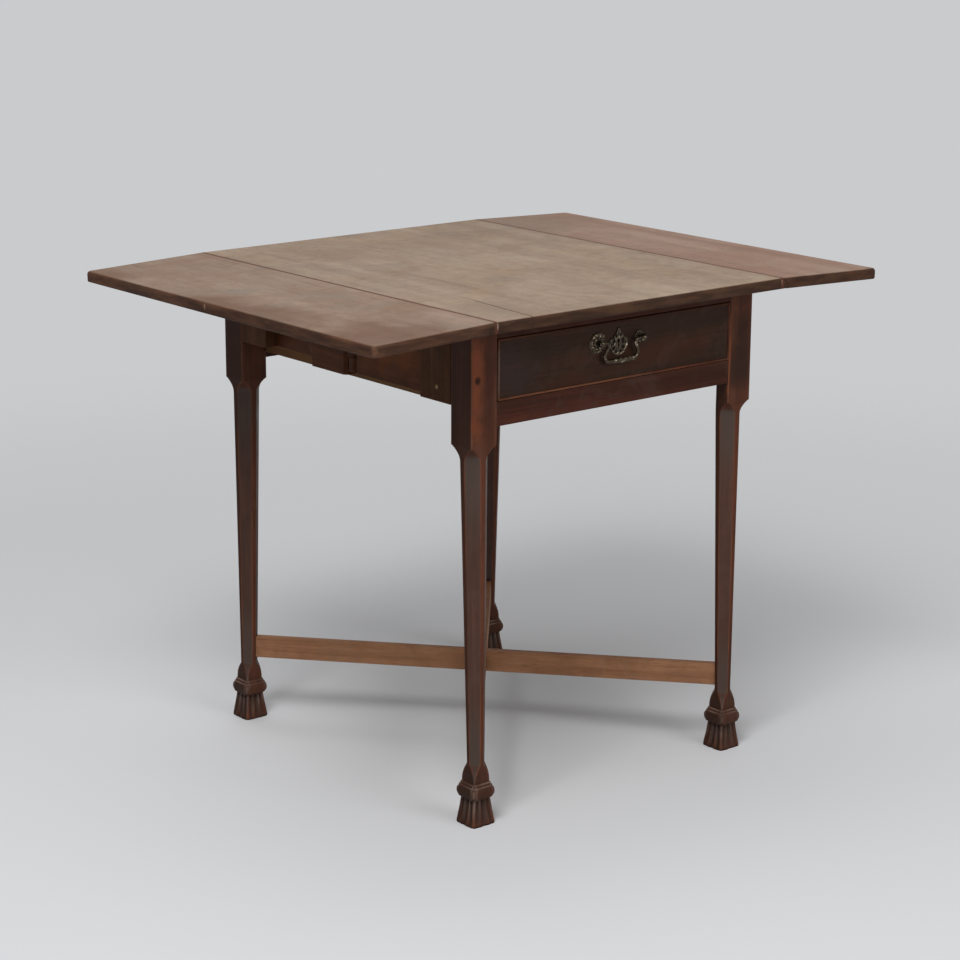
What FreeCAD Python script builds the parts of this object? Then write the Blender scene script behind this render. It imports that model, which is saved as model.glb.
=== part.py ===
"""Pembroke table: a fixed centre top with two drop leaves, knuckle-jointed fly brackets and one drawer.

Millimetres, +Z up. The origin is on the floor under the middle of the top. +X runs across the leaves,
and the drawer opens towards -Y.
"""

import FreeCAD, Part
import math
import os
import re
import Sketcher

Vector = FreeCAD.Vector
doc = FreeCAD.newDocument("pembroke_table")

# Driving sizes, in millimetres and degrees
SIZES = {
    "table_height": 711, "top_depth": 684, "top_width": 522, "top_thick": 16, "top_edge_round": 5,
    "low_edge_round": 2.5, "leaf_corner": 6,
    "leaf_width": 196, "leaf_droop": 2, "joint_fillet": 3, "pin_rise": 2, "joint_gap": 0.5,
    "leg_inset": 3, "top_overhang": 54, "leg_block": 44, "leg_splay": 7, "arris": 0.8,
    "block_length": 162, "cove_height": 27, "shaft_across": 36.4, "shaft_chamfer": 14.2,
    "ankle_across": 27.5, "ankle_chamfer": 10, "stop_length": 20, "neck_across": 29, "neck_length": 8,
    "collar_height": 19, "collar_across": 39, "collar_corner": 4, "fillet_height": 2.4, "fillet_gap": 1.4,
    "fillet_edge": 0.4, "knot_radius": 6.2, "knot_inset": 4.3, "knot_rise": 6,
    "bell_height": 38, "bell_waist": 29.5, "foot_across": 40, "flute_width": 9, "flute_depth": 1.2,
    "rail_thick": 20, "rail_setback": 1, "tenon_stop": 20, "tenon_thick": 8, "tenon_shoulder": 8,
    "mortise_gap": 0.2, "side_rail_height": 103, "drawer_opening": 85, "front_rail_height": 33,
    "top_rail_height": 20, "fly_thick": 20, "bracket_gap": 0.5, "packing_length": 64, "packing_room": 37,
    "packing_drop": 7,
    "pivot_y": -23, "pivot_pin_radius": 3, "knuckle_clear": 0.4, "knuckle_room": 1, "knuckle_bevel": 5,
    "knuckle_count": 5, "knuckle_gap": 0.6, "pin_play": 0.05,
    "bracket_reach": 168, "bracket_height": 110, "bracket_bevel": 18, "bracket_foot": 108,
    "nose_radius": 24, "nose_drop": 34, "nose_run": 20, "nose_rise": 25, "scoop_radius": 50,
    "leaf_play": 0.5, "stretcher_bottom": 96, "stretcher_height": 32, "stretcher_thick": 12,
    "stretcher_housing": 6, "halving_reach": 48,
    "hinge_inset": 127, "hinge_length": 50, "flap_thick": 2, "fixed_flap": 24, "leaf_flap": 34,
    "barrel_radius": 3, "barrel_room": 0.5, "hinge_pin_radius": 1.25, "hinge_screw_radius": 1.8,
    "hinge_screw_head": 3.4, "hinge_screw_length": 10,
    "drawer_gap": 1, "drawer_front_thick": 20, "drawer_side_thick": 10, "drawer_bottom_thick": 7,
    "drawer_back_room": 54, "drawer_front_lip": 8, "groove_depth": 5, "bottom_rise": 8,
    "drawer_side_drop": 1.5, "runner_width": 22, "runner_inset": 4, "runner_height": 20, "slide_play": 0.3,
    "drawer_stop_thick": 7,
    "drawer_stop_rise": 20, "bead_width": 3, "bead_proud": 1.5, "bead_deep": 6, "bead_round": 1.2,
    "handle_spread": 76, "handle_drop": 28, "post_radius": 4.2, "post_reach": 15, "post_ball": 5.5,
    "shank_radius": 2.5, "shank_spare": 2, "nut_radius": 6, "nut_thick": 4, "bail_radius": 2.4,
    "bail_play": 0.08, "bail_clear": 0.5, "bail_drop": 31, "bail_neck": 5, "bail_turn": 10,
    "bail_turn_angle": 105, "rosette_radius": 14.5, "boss_radius": 8.5,
    "plate_thick": 1.6,
    "escutcheon_width": 35, "escutcheon_height": 40, "escutcheon_rise": 18, "keyhole_radius": 2.6,
    "keyhole_lower": 1, "keyhole_slot": 2.4, "keyhole_drop": 9,
    "lock_width": 58, "lock_height": 42, "lock_thick": 11, "bolt_width": 14, "bolt_thick": 5,
    "bolt_throw": 7, "bolt_play": 0.4, "bolt_length": 24,
    "top_screw_radius": 2.2, "top_screw_grip": 11, "overrun": 1,
}

sheet = doc.addObject("Spreadsheet::Sheet", "size")
for row, (alias, value) in enumerate(SIZES.items(), 1):
    sheet.set(f"A{row}", alias)
    sheet.set(f"B{row}", str(value))
    sheet.setAlias(f"B{row}", alias)
doc.recompute()

nodes = []


def sized(text):
    """An expression with each size's name pointed at its cell in the sheet."""
    return re.sub(r"[a-z_]+", lambda m: "size." + m[0] if m[0] in SIZES else m[0], str(text))


def number(text):
    """The present value of an expression."""
    return float(sheet.evalExpression(sized(text)))


def bind(obj, **properties):
    for name, text in properties.items():
        obj.setExpression(name.replace("__", "."), sized(text))
    return obj


def at(obj, x="0", y="0", z="0"):
    return bind(obj, Placement__Base__x=x, Placement__Base__y=y, Placement__Base__z=z)


def node(obj, label):
    """Marks an object as a finished sub-part. Its label names its file."""
    obj.Label = label
    nodes.append(obj)
    return obj


def mirrored(side, low, high):
    """A span given for the positive side, turned to the other side where side is -1."""
    return (low, high) if side > 0 else (f"-({high})", f"-({low})")


def span(middle, width):
    return (f"{middle} - ({width}) / 2", f"{middle} + ({width}) / 2")


def box(name, xs, ys, zs):
    """A block between two values on each axis."""
    obj = doc.addObject("Part::Box", name)
    bind(obj, Length=f"({xs[1]}) - ({xs[0]})", Width=f"({ys[1]}) - ({ys[0]})", Height=f"({zs[1]}) - ({zs[0]})")
    return at(obj, xs[0], ys[0], zs[0])


TURNS = {"x": (Vector(0, 1, 0), 90), "y": (Vector(1, 0, 0), -90), "z": (Vector(0, 0, 1), 0)}


def rod(name, radius, length, axis, x, y, z):
    """A cylinder that starts at a point and runs along an axis."""
    obj = doc.addObject("Part::Cylinder", name)
    obj.Placement.Rotation = FreeCAD.Rotation(*TURNS[axis])
    return at(bind(obj, Radius=radius, Height=length), x, y, z)


def cone(name, start, end, length, axis, x, y, z):
    obj = doc.addObject("Part::Cone", name)
    obj.Placement.Rotation = FreeCAD.Rotation(*TURNS[axis])
    return at(bind(obj, Radius1=start, Radius2=end, Height=length), x, y, z)


def fuse(name, shapes):
    obj = doc.addObject("Part::MultiFuse", name)
    obj.Shapes = shapes
    return obj


def group(name, shapes):
    """Separate solids kept in one node."""
    obj = doc.addObject("Part::Compound", name)
    obj.Links = shapes
    return obj


def cut(name, base, tools):
    obj = doc.addObject("Part::Cut", name)
    obj.Base = base
    obj.Tool = tools[0] if len(tools) == 1 else fuse(name + "_tools", tools)
    return obj


def outline(sketch, path, closed=True):
    """Draws an outline. Each point is (x, y) for a line to the next one, or (x, y, radius, side) for
    an arc to it, with its centre on the left (side 1) or on the right (side -1)."""
    points = [Vector(number(p[0]), number(p[1]), 0) for p in path]
    ends = []
    edges = path if closed else path[:-1]
    for i, point in enumerate(edges):
        start, stop = points[i], points[(i + 1) % len(points)]
        if len(point) == 2:
            sketch.addGeometry(Part.LineSegment(start, stop), False)
            ends.append((1, 2))
            continue
        radius, side = number(point[2]), point[3]
        half = (stop - start) * 0.5
        rise = math.sqrt(max(radius ** 2 - half.Length ** 2, 0))
        normal = Vector(-half.y, half.x, 0).normalize()
        centre = start + half + normal * (rise * side)
        first, last = (start, stop) if side > 0 else (stop, start)
        angles = [math.atan2(p.y - centre.y, p.x - centre.x) for p in (first, last)]
        sketch.addGeometry(Part.ArcOfCircle(Part.Circle(centre, Vector(0, 0, 1), radius), *angles), False)
        ends.append((1, 2) if side > 0 else (2, 1))
    for i in range(len(path) if closed else len(path) - 2):
        after = (i + 1) % len(path)
        sketch.addConstraint(Sketcher.Constraint("Coincident", i, ends[i][1], after, ends[after][0]))
    for i, point in enumerate(path):
        edge, end = (i, ends[i][0]) if i < len(edges) else (i - 1, ends[i - 1][1])
        for kind, text, value in (("DistanceX", point[0], points[i].x), ("DistanceY", point[1], points[i].y)):
            index = sketch.addConstraint(Sketcher.Constraint(kind, -1, 1, edge, end, value))
            sketch.setExpression(f"Constraints[{index}]", sized(text))
        if len(point) == 4:
            index = sketch.addConstraint(Sketcher.Constraint("Radius", i, number(point[2])))
            sketch.setExpression(f"Constraints[{index}]", sized(point[2]))
    return sketch


def body_sketch(body, plane, name, path, closed=True):
    sketch = body.newObject("Sketcher::SketchObject", name)
    support = [feature for feature in body.Origin.OriginFeatures if feature.Role == plane][0]
    sketch.AttachmentSupport = [(support, "")]
    sketch.MapMode = "FlatFace"
    return outline(sketch, path, closed)


def padded(name, plane, path, length, both_ways=False):
    """A body with one outline padded square to its plane."""
    body = doc.addObject("PartDesign::Body", name)
    pad = body.newObject("PartDesign::Pad", name + "_pad")
    pad.Profile = body_sketch(body, plane, name + "_outline", path)
    pad.SideType = "Symmetric" if both_ways else "One side"
    bind(pad, Length=length)
    doc.recompute()
    return body


def rounded(body, radius, wanted):
    """Rounds the edges of a body that a test of their end points picks."""
    label = f"{body.Name}_{radius}"
    picked = []
    for index, edge in enumerate(body.Shape.Edges, 1):
        if wanted([v.Point for v in edge.Vertexes]):
            picked.append(f"Edge{index}")
    fillet = body.newObject("PartDesign::Fillet", label)
    fillet.Base = (body.Tip, picked) if body.Tip.Name != fillet.Name else (fillet.BaseFeature, picked)
    bind(fillet, Radius=radius)
    body.Tip = fillet
    doc.recompute()
    return body


# Places that several pieces share
SIDES = {"left": -1, "right": 1}
ENDS = {"front": -1, "back": 1}
underside = "(table_height - top_thick)"
pin_height = f"({underside} + pin_rise)"
joint_x = "(top_width / 2)"
ovolo = "(top_thick - pin_rise - joint_fillet)"
leg_reach_x = "(top_width / 2 - leg_inset)"
leg_reach_y = "(top_depth / 2 - top_overhang)"
block_bottom = f"({underside} - block_length)"
collar_top = "(bell_height + collar_height)"
ankle_height = f"({collar_top} + neck_length + stop_length)"
side_rail_bottom = f"({underside} - side_rail_height)"
front_rail_bottom = f"({underside} - top_rail_height - drawer_opening - front_rail_height)"
bracket_bottom = f"({underside} - bracket_height)"
tenon_length = "(leg_block - tenon_stop)"
knuckle_radius = "(fly_thick / 2 - knuckle_clear)"
knuckle_shoulder = f"({knuckle_radius} + knuckle_room)"
leg_x = f"({leg_reach_x} - leg_block / 2)"
leg_y = f"({leg_reach_y} - leg_block / 2)"
inner_x = f"({leg_reach_x} - leg_block)"
inner_y = f"({leg_reach_y} - leg_block)"
fly_inside = f"({leg_reach_x} - fly_thick)"
pivot_x = f"({leg_reach_x} - fly_thick / 2)"
side_rail_inside = f"({fly_inside} - rail_thick)"
drawer_floor = f"({front_rail_bottom} + front_rail_height)"
drawer_ceiling = f"({underside} - top_rail_height)"
drawer_way = f"min({inner_x}; {side_rail_inside})"
handle_height = f"({drawer_ceiling} - handle_drop)"
keyhole_height = f"({handle_height} - keyhole_lower)"
front_face = f"(-{leg_reach_y} + rail_setback)"


def rail(name, xs, ys, zs, along, tenon_low, tenon_high):
    """A rail with a stub tenon at each end, and the mortises that take them."""
    parts = [box(name + "_board", xs, ys, zs)]
    mortises = []
    spans = {"x": xs, "y": ys}
    across = "y" if along == "x" else "x"
    middle = f"(({spans[across][0]}) + ({spans[across][1]})) / 2"
    for label, low, high in (
        ("low", f"{spans[along][0]} - {tenon_length}", spans[along][0]),
        ("high", spans[along][1], f"{spans[along][1]} + {tenon_length}"),
    ):
        run = (low, high)
        room = (low + " - mortise_gap", high) if label == "low" else (low, high + " + mortise_gap")
        thick, slot = span(middle, "tenon_thick"), span(middle, "tenon_thick + 2 * mortise_gap")
        tall, deep = (tenon_low, tenon_high), (f"{tenon_low} - mortise_gap", f"{tenon_high} + mortise_gap")
        plan = (run, thick) if along == "x" else (thick, run)
        hole = (room, slot) if along == "x" else (slot, room)
        parts.append(box(f"{name}_tenon_{label}", *plan, tall))
        mortises.append(box(f"{name}_mortise_{label}", *hole, deep))
    return fuse(name + "_whole", parts), mortises


# Rails of the frame
leg_span = (f"-{inner_x}", inner_x)
front_span = (front_face, f"{front_face} + rail_thick")
back_span = (f"{leg_reach_y} - rail_setback - rail_thick", f"{leg_reach_y} - rail_setback")
mortises = []
for label, ys, zs, tenon in (
    ("drawer_rail", front_span, (front_rail_bottom, drawer_floor),
     (f"{front_rail_bottom} + tenon_shoulder / 2", f"{drawer_floor} - tenon_shoulder / 2")),
    ("top_rail", front_span, (drawer_ceiling, underside),
     (f"{drawer_ceiling} + tenon_shoulder / 2", f"{underside} - tenon_shoulder / 2")),
    ("back_rail", back_span, (front_rail_bottom, underside),
     (f"{front_rail_bottom} + tenon_shoulder", f"{underside} - tenon_shoulder")),
):
    piece, holes = rail(label, leg_span, ys, zs, "x", *tenon)
    mortises += holes
    if label == "top_rail":
        strike = box("strike_mortise", span("0", "bolt_width + 4 * bolt_play"),
                     (f"{front_face} + drawer_front_thick - lock_thick / 2 - bolt_thick",
                      f"{front_face} + drawer_front_thick"),
                     (f"{drawer_ceiling} - overrun", f"{drawer_ceiling} + bolt_throw + 2 * bolt_play"))
        piece = cut("top_rail_cut", piece, [strike])
    node(piece, label)
for label, side in SIDES.items():
    piece, holes = rail(f"side_rail_{label}", mirrored(side, side_rail_inside, fly_inside),
                        (f"-{inner_y}", inner_y), (side_rail_bottom, underside), "y",
                        f"{side_rail_bottom} + tenon_shoulder", f"{underside} - tenon_shoulder")
    mortises += holes
    node(piece, f"side_rail_{label}")


def leg_section(name, across, chamfer, x, y, z):
    """An octagon: a square with its four corners chamfered, level at one height."""
    sketch = doc.addObject("Sketcher::SketchObject", name)
    half, flat = f"({across}) / 2", f"(({across}) / 2 - ({chamfer}))"
    corners = [(half, f"-{flat}"), (half, flat), (flat, half), (f"-{flat}", half),
               (f"-{half}", flat), (f"-{half}", f"-{flat}"), (f"-{flat}", f"-{half}"), (flat, f"-{half}")]
    return at(outline(sketch, corners), x, y, z)


COVE_STEPS = 7
STOP_STEPS = 5
COLLAR_STEPS = 6
BELLY_START = math.radians(40)
FILLET_SHARES = (0.35, 0.7)
FLUTES = 3


def leg_profile():
    """Height, width and corner chamfer of each section of a leg, from its top to the floor."""
    yield underside, "leg_block", "arris"
    yield block_bottom, "leg_block", "arris"
    for step in range(1, COVE_STEPS + 1):
        share = math.sin(math.pi / 2 * step / COVE_STEPS)
        yield (f"{block_bottom} - cove_height * {step / COVE_STEPS}",
               f"leg_block + (shaft_across - leg_block) * {share}",
               f"arris + (shaft_chamfer - arris) * {share}")
    yield ankle_height, "ankle_across", "ankle_chamfer"
    for step in range(1, STOP_STEPS + 1):
        share = math.sin(math.pi / 2 * step / STOP_STEPS)
        yield (f"{ankle_height} - stop_length * {step / STOP_STEPS}",
               f"ankle_across + (neck_across - ankle_across) * {share}",
               f"ankle_chamfer + (arris - ankle_chamfer) * {share}")
    for index, share in enumerate(FILLET_SHARES):
        across = f"neck_across + (collar_across - neck_across) * {share}"
        root = f"neck_across + (collar_across - neck_across) * {share} - fillet_gap"
        top = f"({collar_top} - {index} * (fillet_height + fillet_gap))"
        for depth, width in (("0", root), ("fillet_edge", across), ("fillet_height", across),
                             ("fillet_height + fillet_edge", root)):
            yield f"{top} - ({depth})", width, "arris"
    belly = f"(collar_height - {len(FILLET_SHARES)} * (fillet_height + fillet_gap))"
    for step in range(COLLAR_STEPS + 1):
        turn = BELLY_START + (math.pi - BELLY_START) * step / COLLAR_STEPS
        level = (1 + math.cos(turn)) / (1 + math.cos(BELLY_START))
        yield (f"bell_height + {belly} * {level}",
               f"bell_waist + (collar_across - bell_waist) * {math.sin(turn)}",
               f"arris + (collar_corner - arris) * {math.sin(turn)}")
    yield "0", "foot_across", "arris"


def flutes(name, x, y):
    """Three hollows down each face of the bell: tapered cones sunk along its slope."""
    lean = "atan((foot_across - bell_waist) / 2 / bell_height)"
    tools = []
    for face in range(4):
        for step in range(FLUTES):
            place = (step - (FLUTES - 1) / 2) / FLUTES
            tool = doc.addObject("Part::Cone", f"{name}_flute")
            bulge = "(flute_width ^ 2 / 8 / flute_depth + flute_depth / 2)"
            bind(tool, Radius1=bulge, Radius2=f"{bulge} * bell_waist / foot_across",
                 Height="bell_height + overrun")
            fan = f"atan((foot_across - bell_waist) * {place} / bell_height)"
            stand = f"(foot_across / 2 + {bulge} - flute_depth)"
            c, s = round(math.cos(face * math.pi / 2)), round(math.sin(face * math.pi / 2))
            aside = f"foot_across * {place}"
            at(tool, f"{x} + {c} * {stand} - {s} * {aside}", f"{y} + {s} * {stand} + {c} * {aside}", "0")
            turn = (f"create(<<rotation>>; create(<<vector>>; 0; 0; 1); {90 * face}) * "
                    f"create(<<rotation>>; create(<<vector>>; 0; 1; 0); -{lean}) * "
                    f"create(<<rotation>>; create(<<vector>>; 1; 0; 0); {fan})")
            bind(tool, Placement__Rotation=turn)
            tools.append(tool)
    return tools


def knots(name, x, y):
    """Carved knobs on the four corners of the collar."""
    offset = "(collar_across / 2 - knot_inset)"
    for index, (dx, dy) in enumerate(((1, 1), (-1, 1), (-1, -1), (1, -1))):
        knob = doc.addObject("Part::Sphere", f"{name}_knot_{index}")
        bind(knob, Radius="knot_radius")
        yield at(knob, f"{x} + {dx} * {offset}", f"{y} + {dy} * {offset}", "bell_height + knot_rise")


# Stretchers cross on the diagonals, halved where they meet and let into the legs
foot_y = f"({leg_y} + leg_splay)"
diagonal = f"sqrt({leg_x} ^ 2 + {foot_y} ^ 2)"
slant = f"atan({foot_y} / {leg_x})"
stretcher_end = f"({diagonal} - (ankle_across - ankle_chamfer) / sqrt(2) + stretcher_housing)"
stretcher_span = ("stretcher_bottom", "stretcher_bottom + stretcher_height")
housings = []


def diagonal_box(name, half_length, thick, zs, sign):
    bar = box(name, (f"-({half_length})", half_length), span("0", thick), zs)
    bar.Placement.Rotation = FreeCAD.Rotation(Vector(0, 0, 1), 1)
    angle = slant if sign > 0 else f"-{slant}"
    turn = f"({angle})"
    bind(bar, Placement__Rotation__Angle=turn)
    return at(bar, f"-({half_length}) * cos({turn}) + ({thick}) / 2 * sin({turn})",
              f"-({half_length}) * sin({turn}) - ({thick}) / 2 * cos({turn})", zs[0])


middle_height = "stretcher_bottom + stretcher_height / 2"
for label, sign, halving in (
    ("stretcher_lower", 1, (f"{middle_height} - mortise_gap / 2", f"{stretcher_span[1]} + overrun")),
    ("stretcher_upper", -1, ("stretcher_bottom - overrun", f"{middle_height} + mortise_gap / 2")),
):
    bar = diagonal_box(label + "_bar", stretcher_end, "stretcher_thick", stretcher_span, sign)
    notch = diagonal_box(label + "_notch", "halving_reach", "stretcher_thick + 2 * mortise_gap", halving, -sign)
    node(cut(label + "_cut", bar, [notch]), label)
    housings.append(diagonal_box(label + "_housing", f"{stretcher_end} + mortise_gap",
                                 "stretcher_thick + 2 * mortise_gap",
                                 ("stretcher_bottom - mortise_gap", f"{stretcher_span[1]} + mortise_gap"),
                                 sign))

for end_label, end in ENDS.items():
    for side_label, side in SIDES.items():
        name = f"leg_{end_label}_{side_label}"
        x = f"{side} * {leg_x}"
        sections = []
        for index, (z, across, chamfer) in enumerate(leg_profile()):
            splay = f"leg_splay * max(0; min(1; ({block_bottom} - ({z})) / ({block_bottom} - {ankle_height})))"
            y = f"{end} * ({leg_y} + {splay})"
            sections.append(leg_section(f"{name}_section_{index}", across, chamfer, x, y, z))
        blank = doc.addObject("Part::Loft", name + "_blank")
        blank.Sections = sections
        blank.Solid = True
        blank.Ruled = True
        foot = (x, f"{end} * {foot_y}")
        carved = cut(name + "_fluted", blank, flutes(name, *foot))
        whole = fuse(name + "_carved", [carved, *knots(name, *foot)])
        node(cut(name + "_cut", whole, mortises + housings), name)

# Fixed centre top with the convex half of a rule joint along each side
half_top = [(joint_x, "table_height"), (f"-{joint_x}", "table_height"),
            (f"-{joint_x}", f"{pin_height} + {ovolo}", ovolo, 1), (f"-{joint_x} - {ovolo}", pin_height),
            (f"-{joint_x} - {ovolo}", underside), (f"{joint_x} + {ovolo}", underside),
            (f"{joint_x} + {ovolo}", pin_height, ovolo, 1), (joint_x, f"{pin_height} + {ovolo}")]
top = padded("top_blank", "XZ_Plane", half_top, "top_depth", both_ways=True)


def near(value, text):
    return abs(value - number(text)) < 0.01


def edges_at(height, reach, points):
    """Edges at one height that lie along the front, the back or the outer side of a board."""
    level = all(near(p.z, height) for p in points)
    front = any(all(near(p.y, f"{end} * top_depth / 2") for p in points) for end in ENDS.values())
    side = reach is not None and all(near(abs(p.x), reach) for p in points)
    return level and len(points) == 2 and (front or side)


rounded(top, "top_edge_round", lambda points: edges_at("table_height", None, points))
rounded(top, "low_edge_round", lambda points: edges_at(underside, None, points))
hinge_rows = [f"{end} * (top_depth / 2 - hinge_inset)" for end in ENDS.values()]
third = "(hinge_length / 3)"
barrel_slot = "(barrel_radius + barrel_room)"
SCREW_ROWS = (-1, 0, 1)


def screw(name, x, y, z):
    """A countersunk screw with its flat head at z, driven upwards."""
    head = cone(name + "_head", "hinge_screw_head", "hinge_screw_radius", "flap_thick", "z", x, y, z)
    shank = rod(name + "_shank", "hinge_screw_radius", "flap_thick + hinge_screw_length", "z", x, y, z)
    return fuse(name, [head, shank])


def hinge_half(name, side, axis_x, axis_z, plate, low, knuckles, gaps):
    """One half of a pair of leaf hinges: flaps, knuckles on the pin's line, screws and the cuts they need."""
    flaps, screws, seats = [], [], []
    for row, y in enumerate(hinge_rows):
        label = f"{name}_{row}"
        flap = box(label + "_flap", plate, span(y, "hinge_length"), (low, f"{low} + flap_thick"))
        barrels = [rod(f"{label}_barrel_{k}", "barrel_radius", f"{third} - barrel_room", "y", axis_x,
                       f"{y} + {k} * {third} - ({third} - barrel_room) / 2", axis_z) for k in knuckles]
        room = [box(f"{label}_room_{k}", span(axis_x, f"2 * {barrel_slot}"),
                    span(f"{y} + {k} * {third}", third), span(axis_z, f"2 * {barrel_slot}")) for k in gaps]
        bore = rod(label + "_bore", "hinge_pin_radius + pin_play", "hinge_length + 2 * overrun", "y", axis_x,
                   f"{y} - hinge_length / 2 - overrun", axis_z)
        middle = f"(({plate[0]}) + ({plate[1]})) / 2 + {side} * barrel_radius"
        here = [screw(f"{label}_screw_{k}", middle, f"{y} + {k} * {third}", low) for k in SCREW_ROWS]
        flaps.append(cut(label + "_half", fuse(label + "_metal", [cut(label + "_plate", flap, room)] + barrels),
                         [bore] + here))
        screws += here
        seats.append(box(label + "_seat", plate, span(y, "hinge_length"),
                         (f"{low} - overrun", f"{low} + flap_thick")))
    return flaps, screws, seats


top_cuts = []
leaf_axis = {}
for label, side in SIDES.items():
    axis_x = f"{side} * {joint_x}"
    flaps, screws, seats = hinge_half(f"hinge_fixed_{label}", -side, axis_x, pin_height,
                                      mirrored(side, f"{joint_x} - fixed_flap", joint_x), underside,
                                      (-1, 1), (0,))
    node(group(f"hinge_fixed_{label}_set", flaps), f"hinge_fixed_{label}")
    node(group(f"hinge_fixed_{label}_screw_set", screws), f"hinge_fixed_screws_{label}")
    node(group(f"hinge_pin_{label}_set", [
        rod(f"hinge_pin_{label}_{row}", "hinge_pin_radius", "hinge_length", "y", axis_x,
            f"{y} - hinge_length / 2", pin_height) for row, y in enumerate(hinge_rows)]), f"hinge_pins_{label}")
    top_cuts += seats + screws
    for row, y in enumerate(hinge_rows):
        length = "hinge_length + 2 * barrel_room"
        top_cuts.append(rod(f"barrel_slot_{label}_{row}", barrel_slot, length, "y", axis_x,
                            f"{y} - ({length}) / 2", pin_height))
        way = mirrored(side, f"{joint_x} - {barrel_slot}", f"{joint_x} + {ovolo} + overrun")
        top_cuts.append(box(f"flap_way_{label}_{row}", way, span(y, length),
                            (f"{underside} - overrun", f"{pin_height} + barrel_room")))

# Drop leaves, drawn level about the hinge pin's line and then let down by the droop
for label, side in SIDES.items():
    cove = f"({ovolo} + joint_gap)"
    face = "(top_thick - pin_rise)"
    path = [(f"{side} * leaf_width", face), (f"{side} * joint_gap", face),
            (f"{side} * joint_gap", f"sqrt({cove} ^ 2 - joint_gap ^ 2)", cove, -side),
            (f"{side} * {cove}", "0"), (f"{side} * {cove}", "-pin_rise"), (f"{side} * leaf_width", "-pin_rise")]
    leaf = padded(f"leaf_{label}_blank", "XZ_Plane", path, "top_depth", both_ways=True)
    rounded(leaf, "leaf_corner", lambda points: len(points) == 2 and near(points[0].y, points[1].y)
            and all(near(abs(p.x), "leaf_width") for p in points))
    rounded(leaf, "top_edge_round", lambda points: edges_at(face, "leaf_width", points))
    rounded(leaf, "low_edge_round", lambda points: edges_at("-pin_rise", "leaf_width", points))
    flaps, screws, seats = hinge_half(f"hinge_leaf_{label}", side, "0", "0", mirrored(side, "0", "leaf_flap"),
                                      "-pin_rise", (0,), (-1, 1))
    pieces = {
        f"leaf_{label}": cut(f"leaf_{label}_cut", leaf, seats + screws),
        f"hinge_leaf_{label}": group(f"hinge_leaf_{label}_set", flaps),
        f"hinge_leaf_screws_{label}": group(f"hinge_leaf_{label}_screw_set", screws),
    }
    for name, piece in pieces.items():
        piece.Placement.Rotation = FreeCAD.Rotation(Vector(0, 1, 0), side)
        bind(piece, Placement__Rotation__Angle=f"{side} * leaf_droop")
        node(at(piece, f"{side} * {joint_x}", "0", pin_height), name)

# Fly brackets: a wooden knuckle joint and an ogee end, swinging out under each leaf
finger = f"(({underside} - {side_rail_bottom}) / knuckle_count)"
inner_face = "(fly_thick / 2 - bracket_gap)"
KNUCKLES = round(number("knuckle_count"))
nose_low = f"({underside} - nose_drop - nose_rise)"


def knuckles(name, side, wanted, us, vs, bevel_v):
    """Barrels and necks of one half of a knuckle joint, its bore and the bevel on its shoulder."""
    fingers = []
    for index in wanted:
        low = f"{side_rail_bottom} + {index} * {finger}" + (" + knuckle_gap / 2" if index else "")
        last = index == KNUCKLES - 1
        high = f"{side_rail_bottom} + {index + 1} * {finger}" + ("" if last else " - knuckle_gap / 2")
        fingers.append(rod(f"{name}_barrel_{index}", knuckle_radius, f"({high}) - ({low})", "z",
                           f"{side} * {pivot_x}", "pivot_y", low))
        neck_span = mirrored(side, f"{pivot_x} - {us}", f"{pivot_x} + {knuckle_radius}")
        fingers.append(box(f"{name}_neck_{index}", neck_span, vs, (low, high)))
    bore = rod(name + "_bore", "pivot_pin_radius + pin_play", underside, "z", f"{side} * {pivot_x}",
               "pivot_y", "0")
    width = "(knuckle_bevel * sqrt(2))"
    bevel = box(name + "_bevel", ("0", width), ("0", width), ("0", underside))
    bevel.Placement.Rotation = FreeCAD.Rotation(Vector(0, 0, 1), 45)
    at(bevel, f"{side} * {leg_reach_x}", f"pivot_y + {bevel_v} - knuckle_bevel", "0")
    return fingers, [bore, bevel]


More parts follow.
